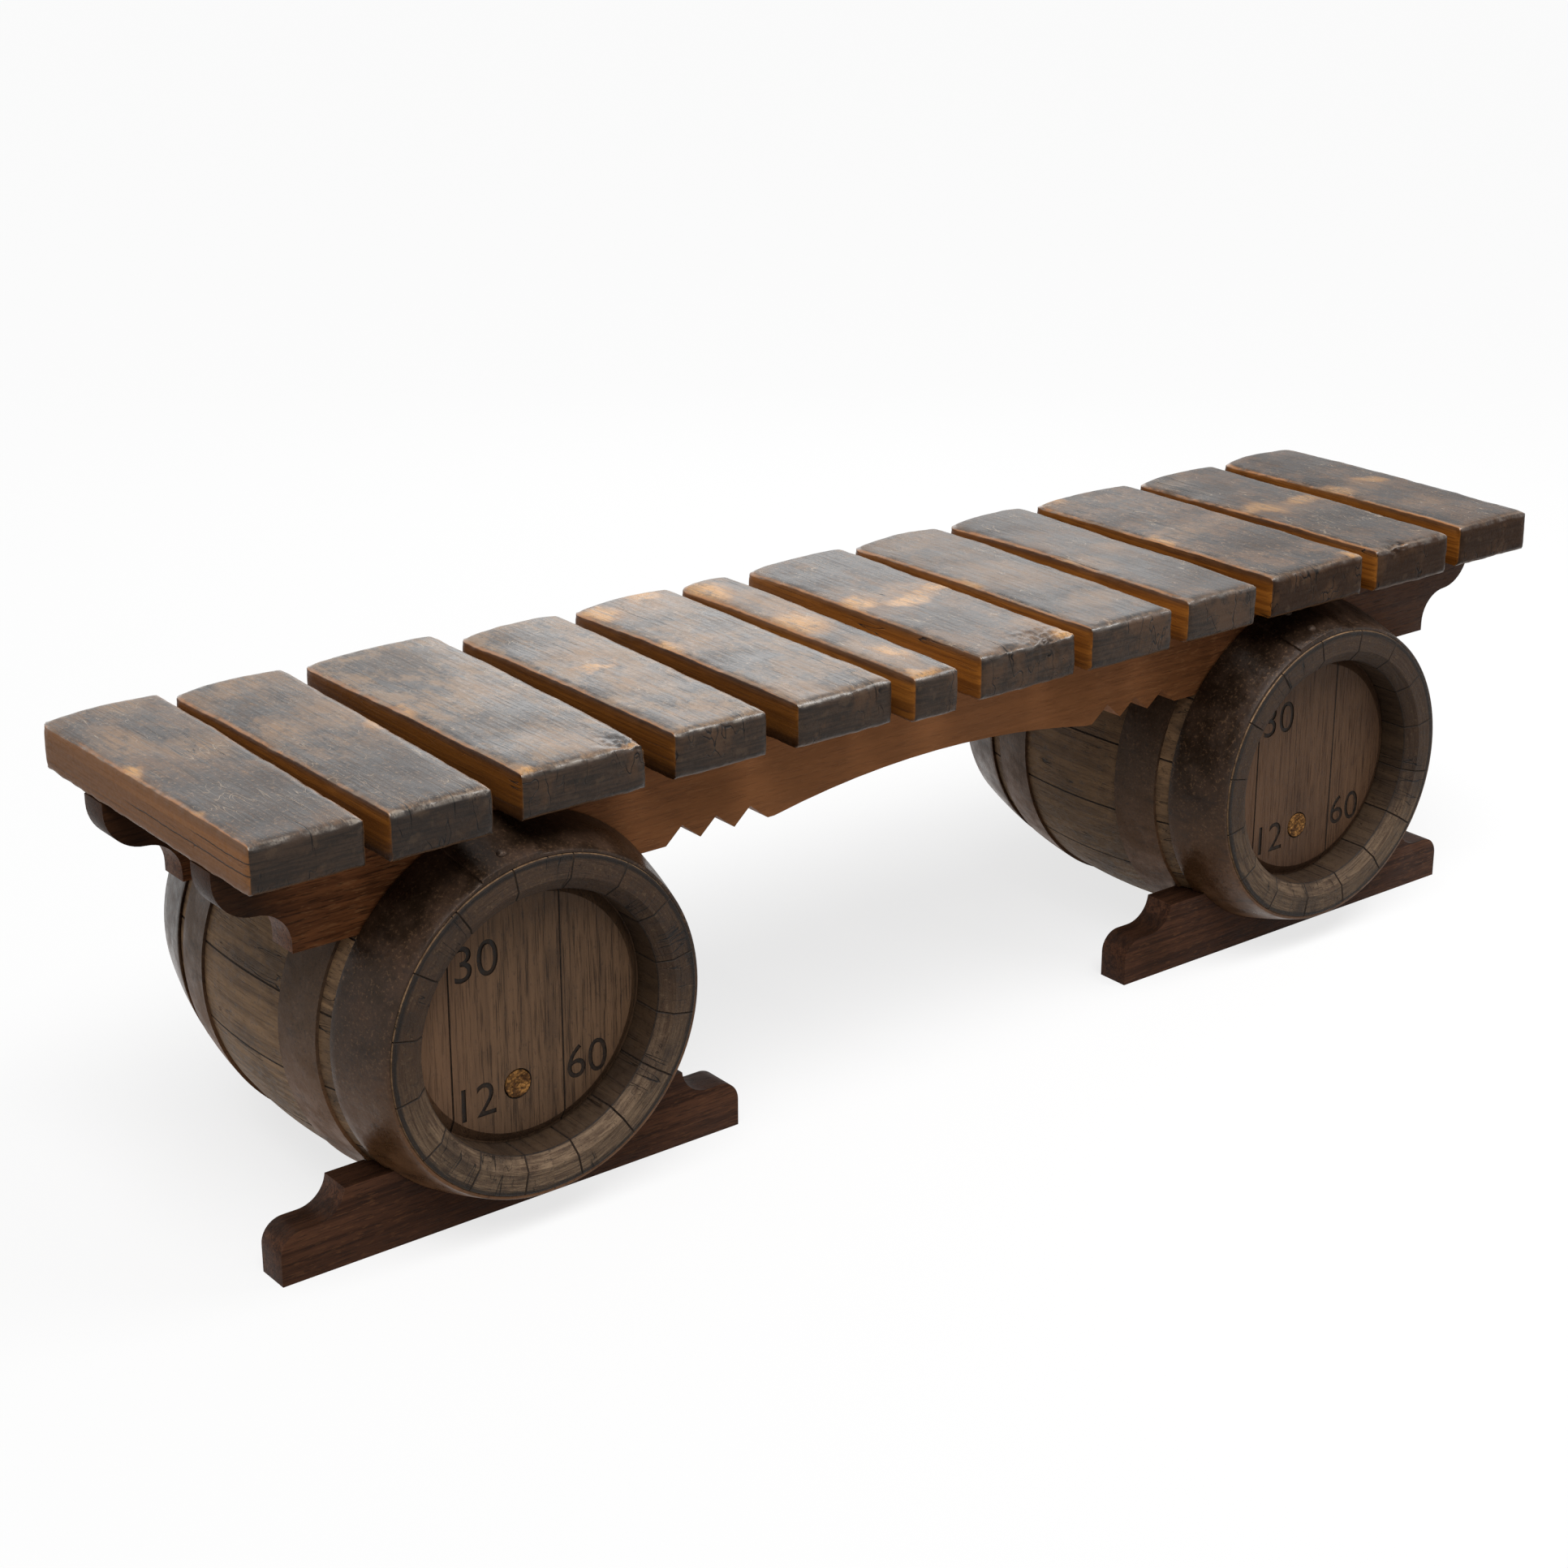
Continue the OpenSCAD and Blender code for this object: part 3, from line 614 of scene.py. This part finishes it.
def fan_out(obj, node, front, back, reach):
    """Widens a slat on its right, lowers the back corners of its top and lengthens its back."""
    low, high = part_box(node)
    across, along, up = ((points_of(obj.data) - np.array(low)) / np.array(high - low)).T
    if back:
        weigh(obj, "wider", across * (front + (back - front) * along) / back)
        applied(obj, "DISPLACE", direction="X", strength=back, mid_level=0.0, vertex_group="wider")
    crown = (2 * across - 1) ** 2 * np.where(across < 0.5, 1.0, CROWN_RIGHT)
    crown = crown * np.clip(along, 0, 1) ** 3
    weigh(obj, "lower", crown * np.clip(up, 0, 1))
    applied(obj, "DISPLACE", direction="Z", strength=-CROWN_DROP, mid_level=0.0,
            vertex_group="lower")
    if reach:
        weigh(obj, "longer", along ** 3)
        applied(obj, "DISPLACE", direction="Y", strength=reach, mid_level=0.0, vertex_group="longer")


def make_slat(number):
    node = SLATS[number - 1]
    obj = merged_copy(node, f"{node}_worn", slat_oak(number, node))
    applied(obj, "REMESH", mode="VOXEL", voxel_size=length("slat_grid"), use_smooth_shade=True)
    fan_out(obj, node, *FLARE[number - 1])
    low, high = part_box(node)
    place = points_of(obj.data)
    broken = np.zeros(len(place))
    for across, along, reach in KNOTS.get(number, ()):
        middle = (low.x + across * (high.x - low.x), low.y + along * (high.y - low.y), high.z)
        near = np.exp(-((place - np.array(middle)) ** 2).sum(1) / reach ** 2)
        broken = np.maximum(broken, near)
    weigh(obj, "chips", edge_shares(obj.data) * CHIP_GAIN)
    weigh(obj, "hollow", (place[:, 2] - low.z - HOLLOW_FLOOR) / HOLLOW_RISE)
    weigh(obj, "broken", broken)
    slow, fast = clouds(f"{node}_slow", *SLOW), clouds(f"{node}_fast", *FAST)
    applied(obj, "DISPLACE", texture=slow, texture_coords="LOCAL", direction="Z",
            strength=length("slat_hollow"), mid_level=1.0, vertex_group="hollow")
    applied(obj, "DISPLACE", texture=fast, texture_coords="LOCAL", strength=length("slat_chip"),
            mid_level=0.9, vertex_group="chips")
    if number in KNOTS:
        applied(obj, "DISPLACE", texture=clouds(f"{node}_knots", *CRUMBLED), texture_coords="LOCAL",
                strength=KNOT_DEPTH, mid_level=0.85, vertex_group="broken")
    obj.vertex_groups.clear()
    keep_share(obj.data, "edge", edge_shares(obj.data))
    smoothed(obj, 60)
    dressed(obj, node)


# Rails and feet

def plain_oak(name, base, dark, pale, seed, rough_low=0.38, rough_high=0.55, bright=None,
              level=0.07):
    """Fine oak with its grain along x: pores, growth streaks and pale flecks.

    With a bright tone it is a rail's: lit in the middle and in painted shade at both ends. Without
    one, its upward faces get painted shade."""
    s = Shade(name)
    move = (seed * 2.3, seed * 1.1, seed * 0.7)
    pores = s.grain(s.place, (40, 560, 560), move, 3.0, 0.6)
    growth = s.grain(s.place, (3, 150, 150), move, 3.0, 0.6, 0.6)
    wide = s.grain(s.place, (3, 22, 22), move, 3.0, 0.6)
    fleck = s.grain(s.place, (90, 420, 420), move, 2.0, 0.5)
    stain = s.grain(s.place, (9, 9, 9), move, 4.0, 0.6)
    colour = s.mix(s.spread(growth, 0.36, 0.66), base, dark)
    colour = s.layered(
        colour,
        (wide, 0.42, 0.66, 0.5, dark),
        (fleck, 0.56, 0.66, 0.55, pale),
        (pores, 0.5, 0.64, 0.6, paint(34, 20, 13)),
        (stain, 0.52, 0.7, 0.35, paint(40, 26, 18)))
    if bright:
        x = s.parts(s.place)[0]
        # Painted light in the middle of a rail; painted shade at its right end, where the barrel
        # casts shadow, and at its left end under slat 1.
        middle = s.spread(abs(x + 0.05) + (wide - 0.5) * 0.3, 0.62, 0.12)
        colour = s.mix(middle * 0.62, colour, bright)
        colour = s.layered(
            colour,
            (x, 0.5, 0.7, 0.75, paint(44, 24, 12)),
            (x, -0.72, -0.78, 0.85, paint(30, 17, 9)))
    else:
        # Painted shade: upward faces darkened, as under the barrels and the seat.
        up = s.parts(s.facing)[2]
        colour = s.mix(s.spread(up, 0.4, 0.8) * 0.6, colour, paint(20, 11, 6))
    rough = s.spread(stain, 0.3, 0.7, rough_low, rough_high) + s.spread(pores, 0.5, 0.8) * 0.12
    height = growth * 0.35 - s.spread(pores, 0.5, 0.8) * 0.5 + fleck * 0.15
    return s.finish(colour, rough, height, 0.0007, level=level)


def make_oaks(nodes, ease, slot, *materials):
    """Makes sawn pieces with softened edges: the first material on faces, the second on edges."""
    for node in nodes:
        obj = merged_copy(node, f"{node}_eased", *materials)
        eased(obj, ease, 3, 30, 1)
        smoothed(obj, 35)
        dressed(obj, node)


def make_rails():
    wood = plain_oak("rail_oak", tint("rail"), paint(96, 57, 34), paint(160, 112, 74), 3,
                     bright=paint(196, 132, 84))
    rubbed = plain_oak("rail_oak_edge", paint(104, 64, 40), paint(76, 47, 30), paint(140, 96, 62), 3,
                       bright=paint(154, 104, 66))
    make_oaks(("front_rail", "rear_rail"), length("rail_ease"), "rail_oak", wood, rubbed)


def make_feet():
    wood = plain_oak("foot_oak", tint("foot"), paint(54, 33, 23), paint(104, 70, 48), 7, 0.42, 0.58)
    rubbed = plain_oak("foot_oak_edge", paint(86, 56, 40), paint(60, 38, 27), paint(108, 76, 54), 7,
                       0.36, 0.5, level=0.08)
    nodes = [f"{side}_{kind}" for side in SIDES for kind in ("front_foot", "rear_chock")]
    make_oaks(nodes, length("foot_ease"), "foot_oak", wood, rubbed)


# Barrels

# How far from a barrel's axis the soot and painted shade inside its mouth start and are full, and the
# soot of its rim.
MOUTH_SOOT_AND_SHADE, RIM_SOOT = (0.1345, 0.13), (0.156, 0.1595)
# How wide the softened edges of head boards and hoops are.
HEAD_EASE, HOOP_EASE = 0.0008, 0.0009


def barrel_axis(side):
    """Gives the middle of a barrel, which its axis passes along y."""
    low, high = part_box(f"{side}_staves")
    return (low + high) / 2


def stave_oak(side):
    """Grey-brown old oak of the staves, with rough end grain on the rims."""
    axis = barrel_axis(side)
    s = Shade(f"stave_oak_{side}")
    move = (1.7 if side == "left" else 9.3, 0.4, 2.2)
    x, y, z = s.parts(s.place)
    tone = s.worn("tone")
    shifted = s.joined(x, y, z + tone * 3.0)
    pores = s.grain(shifted, (620, 22, 620), move, 2.0, 0.6)
    growth = s.grain(shifted, (120, 5, 120), move, 3.0, 0.6, 0.5)
    stain = s.grain(s.place, (16, 11, 16), move, 4.0, 0.65)
    grit = s.grain(s.place, (190, 130, 190), move, 4.0, 0.7)
    base, dark, pale = tint("stave"), paint(66, 50, 38), paint(126, 104, 82)
    colour = s.mix(s.spread(growth, 0.3, 0.75) * 0.8, base, dark)
    colour = s.layered(
        colour,
        (tone, 0.0, 1.0, 0.5, paint(104, 78, 54)),
        (stain, 0.46, 0.68, 0.6, paint(58, 46, 37)),
        (grit, 0.55, 0.68, 0.45, pale),
        (grit, 0.44, 0.34, 0.45, paint(40, 29, 20)),
        (pores, 0.54, 0.76, 0.6, paint(34, 26, 20)))
    crack = s.line(s.grain(shifted, (40, 1.4, 40), move, 3.0, 0.5), 0.5, 0.004)
    crack = crack * s.spread(stain, 0.48, 0.58)
    colour = s.mix(crack, colour, paint(14, 10, 8))

    around = s.maths("ARCTAN2", x - axis.x, z - axis.z)
    radius = s.far(x - axis.x, z - axis.z)
    ring = s.joined(around * 0.16, radius + tone, y)
    end_grain = s.grain(ring, (26, 420, 6), move, 4.0, 0.65, 0.8)
    end_split = s.line(s.grain(ring, (46, 5, 2), move, 3.0, 0.5), 0.5, 0.01)
    end_split = end_split * s.spread(stain, 0.5, 0.6)
    end = s.mix(s.spread(end_grain, 0.34, 0.66), paint(152, 127, 101), paint(84, 65, 50))
    # Painted shade: the rim's end grain darkens above the axis, where the slats shade it.
    end = s.mix(s.spread(z - axis.z, -0.12, 0.02) * 0.85, end, paint(54, 33, 19))
    end = s.mix(tone * 0.5, end, paint(70, 54, 42))
    end = s.layered(
        end,
        (grit, 0.54, 0.66, 0.35, paint(134, 112, 90)),
        (grit, 0.44, 0.34, 0.5, paint(30, 22, 16)),
        (stain, 0.48, 0.66, 0.7, paint(48, 36, 28)))
    if side == "right":
        end = s.mix(0.3, end, paint(38, 27, 19))
    end = s.mix(end_split, end, paint(12, 9, 7))
    ny = s.parts(s.facing)[1]
    is_end = s.spread(abs(ny), 0.3, 0.55)
    colour = s.mix(is_end, colour, end)
    # Soot and painted shade on the mouth's inner wall, in the recess before the head.
    mouth = s.spread(radius, *MOUTH_SOOT_AND_SHADE) * s.spread(abs(ny), 0.75, 0.5)
    colour = s.mix(mouth * 0.85, colour, paint(34, 23, 15))
    outer = s.spread(radius + (end_grain - 0.5) * 0.006, *RIM_SOOT)
    colour = s.mix(outer * is_end * 0.9, colour, paint(18, 13, 10))
    rough = s.spread(grit, 0.3, 0.7, 0.5, 0.7)
    height = growth * 0.5 + grit * 0.35 - s.spread(pores, 0.5, 0.8) * 0.3 - crack * 1.5
    height = height + (end_grain * 1.2 - end_split * 2.0) * is_end
    return s.finish(colour, rough, height, 0.0012)


def head_oak(side):
    """Warm brown oak of a head, its grain upright, with soot in the pressed marks."""
    axis = barrel_axis(side)
    s = Shade(f"head_oak_{side}")
    move = (2.9 if side == "left" else 6.1, 1.3, 0.2)
    x, y, z = s.parts(s.place)
    tone = s.worn("tone")
    shifted = s.joined(x + tone * 2.0, y, z)
    pores = s.grain(shifted, (760, 760, 24), move, 2.0, 0.6)
    growth = s.grain(shifted, (130, 130, 4), move, 3.0, 0.6, 0.5)
    stain = s.grain(s.place, (15, 15, 10), move, 4.0, 0.6)
    grit = s.grain(s.place, (220, 220, 120), move, 4.0, 0.7)
    base, dark, pale = tint("head"), paint(62, 45, 33), paint(122, 98, 76)
    colour = s.mix(s.spread(growth, 0.28, 0.78) * 0.6, base, dark)
    colour = s.layered(
        colour,
        (tone, 0.0, 1.0, 0.25, paint(104, 78, 56)),
        (stain, 0.48, 0.7, 0.45, paint(60, 45, 34)),
        (grit, 0.56, 0.7, 0.4, pale),
        (grit, 0.44, 0.34, 0.4, paint(44, 31, 21)),
        (pores, 0.5, 0.68, 0.7, paint(32, 23, 17)))
    radius = s.far(x - axis.x, z - axis.z)
    # Painted shade: the head darkens toward its edge, in the corner of the mouth's recess.
    colour = s.layered(
        colour,
        (radius, 0.108, 0.128, 0.35, paint(38, 27, 20)),
        (x - axis.x, -0.02, -0.1, 0.35, paint(150, 112, 84)))
    colour = s.mix(s.spread(z, axis.z - 0.03, axis.z - 0.12) * 0.35, colour, paint(54, 40, 30))
    if side == "right":
        colour = s.mix(0.4, colour, paint(62, 34, 17))
    rough = s.spread(grit, 0.3, 0.7, 0.46, 0.62)
    height = growth * 0.5 + grit * 0.2 - s.spread(pores, 0.5, 0.8) * 0.45
    return s.finish(colour, rough, height, 0.001)


def burnt_oak():
    """Soot-dark wood at the bottom of the pressed numbers and in the joints."""
    s = Shade("burnt_oak")
    grit = s.noise(s.place, 320.0, 4.0, 0.7)
    colour = s.mix(s.spread(grit, 0.35, 0.65), paint(26, 20, 16), paint(52, 40, 31))
    return s.finish(colour, s.spread(grit, 0.3, 0.7, 0.5, 0.75), grit, 0.0006)


def make_staves():
    joint = burnt_oak()
    for turn, side in enumerate(SIDES):
        node = f"{side}_staves"
        obj = merged_copy(node, f"{node}_worn", stave_oak(side), joint)
        eased(obj, length("stave_ease"), 1, 50, 1, False)
        keep_board_tones(obj.data, 5 + turn)
        smoothed(obj, 30)
        dressed(obj, node)


# Plain numbers pressed into the heads: text, across, up, letter height, all from the head's middle.
NUMERALS = (("30", -0.052, 0.064, 0.036), ("12", -0.058, -0.074, 0.034), ("60", 0.064, -0.066, 0.034))


def numeral(text, x, y, z, height, depth):
    """Makes a solid number that stands through the face of a head."""
    bpy.ops.object.select_all(action="DESELECT")
    bpy.ops.object.text_add(location=(0, 0, 0))
    obj = bpy.context.object
    obj.data.body, obj.data.size = text, height * 1.4
    obj.data.align_x, obj.data.align_y = "CENTER", "CENTER"
    obj.data.extrude = depth
    obj.data.resolution_u = 6
    alone(obj)
    bpy.ops.object.convert(target="MESH")
    obj = bpy.context.object
    obj.rotation_euler = (math.radians(90), 0, 0)
    obj.location = (x, y, z)
    settle(obj)
    welded(obj)
    return obj


def make_heads():
    burnt = burnt_oak()
    for turn, side in enumerate(SIDES):
        wood = head_oak(side)
        axis = barrel_axis(side)
        for place in ("front", "rear"):
            node = f"{side}_{place}_head"
            obj = merged_copy(node, f"{node}_worn", wood, burnt)
            eased(obj, HEAD_EASE, 1, 50, 1)
            if place == "front":
                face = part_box(node)[0].y
                for text, across, up, height in NUMERALS:
                    cutter = numeral(text, axis.x + across, face, axis.z + up, height,
                                     length("numeral_depth"))
                    cutter.data.materials.append(burnt)
                    applied(obj, "BOOLEAN", operation="DIFFERENCE", object=cutter, solver="EXACT",
                            material_mode="TRANSFER")
                    bpy.data.objects.remove(cutter)
            keep_board_tones(obj.data, 11 + turn)
            smoothed(obj, 30)
            dressed(obj, node)


# The mesh spacing of a cork, how deep its skin crumbles, and the clouds that shape it.
CORK_GRID, CORK_CRUMB, CORK_CLOUDS = 0.0007, 0.0016, (0.004, 3)


def cork():
    """Crumbly pressed cork of the bungs."""
    s = Shade("cork")
    cells = s.node("TexVoronoi", {"feature": "F1"}, {"Vector": s.place, "Scale": 330.0},
                   out="Distance")
    lump = s.noise(s.place, 130.0, 4.0, 0.7)
    colour = s.mix(s.spread(lump, 0.36, 0.62), paint(172, 122, 66), paint(84, 54, 28))
    colour = s.mix(s.spread(cells, 0.45, 0.75) * 0.7, colour, paint(58, 38, 22))
    return s.finish(colour, s.spread(lump, 0.3, 0.7, 0.7, 0.9), lump - cells * 0.7, 0.0016)


def make_bungs():
    """Corks: short turned plugs with a broken, hollowed face."""
    wood = cork()
    for side in SIDES:
        node = f"{side}_bung"
        low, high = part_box(node)
        middle, size = (low + high) / 2, high - low
        bpy.ops.object.select_all(action="DESELECT")
        bpy.ops.mesh.primitive_cylinder_add(vertices=40, radius=size.x / 2, depth=size.y,
                                            location=middle, rotation=(math.radians(90), 0, 0))
        obj = bpy.context.object
        obj.name = obj.data.name = f"{side}_cork"
        settle(obj)
        bpy.context.tool_settings.mesh_select_mode = (False, False, True)
        for face in obj.data.polygons:
            face.select = face.normal.y < -0.9
        bpy.ops.object.mode_set(mode="EDIT")
        bpy.ops.mesh.inset(thickness=size.x * 0.14, depth=0)
        bpy.ops.mesh.inset(thickness=size.x * 0.2, depth=-0.0008)
        bpy.ops.object.mode_set(mode="OBJECT")
        applied(obj, "REMESH", mode="VOXEL", voxel_size=CORK_GRID)
        applied(obj, "DISPLACE", texture=clouds(f"{side}_crumb", *CORK_CLOUDS),
                texture_coords="LOCAL", strength=CORK_CRUMB, mid_level=1.0)
        obj.data.materials.append(wood)
        smoothed(obj, 50)
        dressed(obj, node)


# Ironwork

def hoop_iron(name, base, rust, seed, rough_low, rough_high):
    """Oiled iron with brown rust bloom and hammer marks, with painted light that makes it paler low
    down and painted shade on the right barrel.
    """
    s = Shade(name)
    move = (seed * 1.3, seed * 2.1, seed * 0.6)
    bloom = s.grain(s.place, (26, 26, 26), move, 5.0, 0.65)
    grit = s.grain(s.place, (300, 300, 300), move, 4.0, 0.7)
    dents = s.grain(s.place, (60, 60, 60), move, 2.0, 0.5)
    drip = s.grain(s.place, (70, 20, 70), move, 3.0, 0.6)
    colour = s.mix(s.spread(bloom, 0.36, 0.68), base, rust)
    x, _, z = s.parts(s.place)
    # Painted light: paler brown low down, where the seat does not shade the hoops. Painted shade:
    # darker on the right barrel, under the seat.
    colour = s.layered(
        colour,
        (z, 0.24, 0.06, 0.75, paint(134, 92, 58)),
        (x, 0.2, 0.3, 0.3, paint(28, 18, 12)),
        (grit, 0.54, 0.66, 0.55, paint(112, 86, 64)),
        (grit, 0.44, 0.34, 0.5, paint(24, 17, 12)),
        (drip, 0.52, 0.7, 0.45, paint(34, 26, 22)))
    rough = s.spread(bloom, 0.34, 0.66, rough_low, rough_high)
    metal = s.spread(bloom, 0.6, 0.4) * s.spread(grit, 0.3, 0.45) * 0.35
    return s.finish(colour, rough, dents * 0.9 + grit * 0.3, 0.0009, metal=metal)


def make_hoops():
    bilge = hoop_iron("bilge_hoop_iron", tint("iron"), paint(88, 68, 52), 4, 0.42, 0.62)
    mouth = hoop_iron("head_hoop_iron", paint(50, 37, 27), paint(66, 48, 36), 8, 0.26, 0.46)
    for side in SIDES:
        for kind in ("front_head_hoop", "front_bilge_hoop", "rear_bilge_hoop", "rear_head_hoop"):
            node = f"{side}_{kind}"
            obj = merged_copy(node, f"{node}_worn", mouth if "head" in kind else bilge)
            eased(obj, HOOP_EASE, 2, 40)
            smoothed(obj, 30)
            dressed(obj, node)


def make_rivets():
    metal = hoop_iron("rivet_iron", paint(58, 47, 40), paint(84, 64, 50), 12, 0.3, 0.5)
    for side in SIDES:
        node = f"{side}_rivets"
        obj = merged_copy(node, f"{node}_worn", metal)
        smoothed(obj, 60)
        dressed(obj, node)


def make_screws():
    metal = hoop_iron("screw_steel", paint(96, 90, 84), paint(84, 68, 54), 15, 0.3, 0.5)
    for node in ("seat_screws", "foot_screws"):
        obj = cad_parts[node]
        obj.data.materials.clear()
        obj.data.materials.append(metal)


# Stage

FLOOR_RADIUS = 30
# The floor's own light as the camera sees it, as a share of its whole look.
FLOOR_GLOW = 0.75
ROOM_LIGHT = 0.24
# The sun's power, its width in degrees, and the way that its back faces.
SUN_POWER, SUN_ANGLE, SUN_WAY = 2.2, 40, (-0.28, -0.36, 0.9)
# Soft panels: width, height, power, place, and the way that their backs face.
PANELS = {"back_soft": (1.4, 0.7, 2.6, (1.5, 1.95, 1.24), (1.5, 1.95, 0.79)),
          "front_soft": (0.9, 0.9, 20, (1.35, -0.95, 2.35), (1.35, -0.95, 1.9))}
# The camera's place in metres, and its view below the horizon and about the vertical in degrees.
CAMERA_PLACE, CAMERA_DIP, CAMERA_TURN = (-1.834, -2.2174, 1.3511), 20.976, -38.03


def seen_by(shade, *kinds):
    """Gives 1 for the named kinds of rays and 0 for the rest."""
    path = shade.node("LightPath").out.node
    seen = [Val(shade, path.outputs[f"Is {kind} Ray"]) for kind in kinds]
    share = seen[0]
    for more in seen[1:]:
        share = shade.top(share, more)
    return share


def make_floor():
    """Makes a floor that looks nearly white, takes shadows and bounces little light."""
    bpy.ops.object.select_all(action="DESELECT")
    bpy.ops.mesh.primitive_circle_add(vertices=96, radius=FLOOR_RADIUS, fill_type="NGON",
                                      location=(0, 0, 0))
    floor = bpy.context.object
    floor.name = "studio_floor"
    s = Shade("studio_floor")
    shadowed = s.node("BsdfDiffuse", None, {"Color": tint("floor")})
    bounce = s.node("BsdfDiffuse", None, {"Color": paint(140, 138, 134)})
    lit = s.node("Emission", None, {"Color": (1, 1, 1, 1), "Strength": 1.0})
    pale = s.node("MixShader", None, {0: FLOOR_GLOW, 1: shadowed, 2: lit})
    seen = seen_by(s, "Camera", "Glossy", "Transmission")
    s.node_end(s.node("MixShader", None, {0: seen, 1: bounce, 2: pale}))
    floor.data.materials.append(s.owner)


def make_room():
    """Lights the bench from all around, in front of plain white."""
    s = Shade("studio", "World")
    room = s.node("Background", None, {"Color": (1, 1, 1, 1), "Strength": ROOM_LIGHT})
    white = s.node("Background", None, {"Color": (1, 1, 1, 1)})
    s.node_end(s.node("MixShader", None, {0: seen_by(s, "Camera", "Glossy"), 1: room, 2: white}))
    bpy.context.scene.world = s.owner


def hung(lamp, place, way):
    """Hangs a lamp at a place, with its back turned to a way."""
    obj = bpy.data.objects.new(lamp.name, lamp)
    bpy.context.scene.collection.objects.link(obj)
    obj.location = place
    obj.rotation_euler = Vector(way).to_track_quat("Z", "Y").to_euler()


def make_lamps():
    key = bpy.data.lights.new("key", "SUN")
    key.energy, key.angle = SUN_POWER, math.radians(SUN_ANGLE)
    hung(key, (0, 0, 0), SUN_WAY)
    for name, (width, height, power, place, way) in PANELS.items():
        soft = bpy.data.lights.new(name, "AREA")
        soft.shape, soft.size, soft.size_y, soft.energy = "RECTANGLE", width, height, power
        hung(soft, place, way)


def make_camera():
    camera = bpy.data.cameras.new("camera")
    camera.lens, camera.sensor_width = length("camera_lens"), 36
    camera.clip_end = 100
    eye = bpy.data.objects.new("camera", camera)
    bpy.context.scene.collection.objects.link(eye)
    eye.location = CAMERA_PLACE
    eye.rotation_euler = (math.radians(90 - CAMERA_DIP), 0, math.radians(CAMERA_TURN))
    bpy.context.scene.camera = eye
    bpy.context.scene.view_settings.view_transform = "Standard"


# Operators

class BENCH_OT_slats(bpy.types.Operator):
    """Makes the twelve worn slats of the seat"""
    bl_idname, bl_label = "bench.slats", "Slats"

    def execute(self, context):
        for number in range(1, len(SLATS) + 1):
            make_slat(number)
        return {"FINISHED"}


class BENCH_OT_rails(bpy.types.Operator):
    """Makes the two scribed rails under the slats"""
    bl_idname, bl_label = "bench.rails", "Rails"

    def execute(self, context):
        make_rails()
        return {"FINISHED"}


class BENCH_OT_feet(bpy.types.Operator):
    """Makes the front feet and rear chocks"""
    bl_idname, bl_label = "bench.feet", "Feet"

    def execute(self, context):
        make_feet()
        return {"FINISHED"}


class BENCH_OT_staves(bpy.types.Operator):
    """Makes the staves of both barrels"""
    bl_idname, bl_label = "bench.staves", "Staves"

    def execute(self, context):
        make_staves()
        return {"FINISHED"}


class BENCH_OT_heads(bpy.types.Operator):
    """Makes the barrel heads with their pressed numbers"""
    bl_idname, bl_label = "bench.heads", "Heads"

    def execute(self, context):
        make_heads()
        return {"FINISHED"}


class BENCH_OT_bungs(bpy.types.Operator):
    """Makes the corks in the front heads"""
    bl_idname, bl_label = "bench.bungs", "Corks"

    def execute(self, context):
        make_bungs()
        return {"FINISHED"}


class BENCH_OT_ironwork(bpy.types.Operator):
    """Makes the hoops, rivets and screws"""
    bl_idname, bl_label = "bench.ironwork", "Ironwork"

    def execute(self, context):
        make_hoops()
        make_rivets()
        make_screws()
        return {"FINISHED"}


class BENCH_OT_stage(bpy.types.Operator):
    """Makes the floor, the light and the camera"""
    bl_idname, bl_label = "bench.stage", "Stage"

    def execute(self, context):
        make_floor()
        make_room()
        make_lamps()
        make_camera()
        return {"FINISHED"}


STEPS = (BENCH_OT_slats, BENCH_OT_rails, BENCH_OT_feet, BENCH_OT_staves, BENCH_OT_heads,
         BENCH_OT_bungs, BENCH_OT_ironwork, BENCH_OT_stage)


class BENCH_PT_panel(bpy.types.Panel):
    """Lists the bench's pieces, sizes and colours"""
    bl_idname, bl_label = "BENCH_PT_panel", "Barrel bench"
    bl_space_type, bl_region_type, bl_category = "VIEW_3D", "UI", "Bench"

    def draw(self, context):
        for step in STEPS:
            self.layout.operator(step.bl_idname)
        for group in (context.scene.bench_sizes, context.scene.bench_colours):
            for key in group.__annotations__:
                self.layout.prop(group, key)


CLASSES = (BenchSizes, BenchColours, *STEPS, BENCH_PT_panel)


def register():
    for cls in CLASSES:
        bpy.utils.register_class(cls)
    bpy.types.Scene.bench_sizes = bpy.props.PointerProperty(type=BenchSizes)
    bpy.types.Scene.bench_colours = bpy.props.PointerProperty(type=BenchColours)


def unregister():
    del bpy.types.Scene.bench_colours, bpy.types.Scene.bench_sizes
    for cls in reversed(CLASSES):
        bpy.utils.unregister_class(cls)


def main():
    register()
    bpy.ops.bench.slats()
    bpy.ops.bench.rails()
    bpy.ops.bench.feet()
    bpy.ops.bench.staves()
    bpy.ops.bench.heads()
    bpy.ops.bench.bungs()
    bpy.ops.bench.ironwork()
    bpy.ops.bench.stage()


if __name__ == "__main__":
    main()
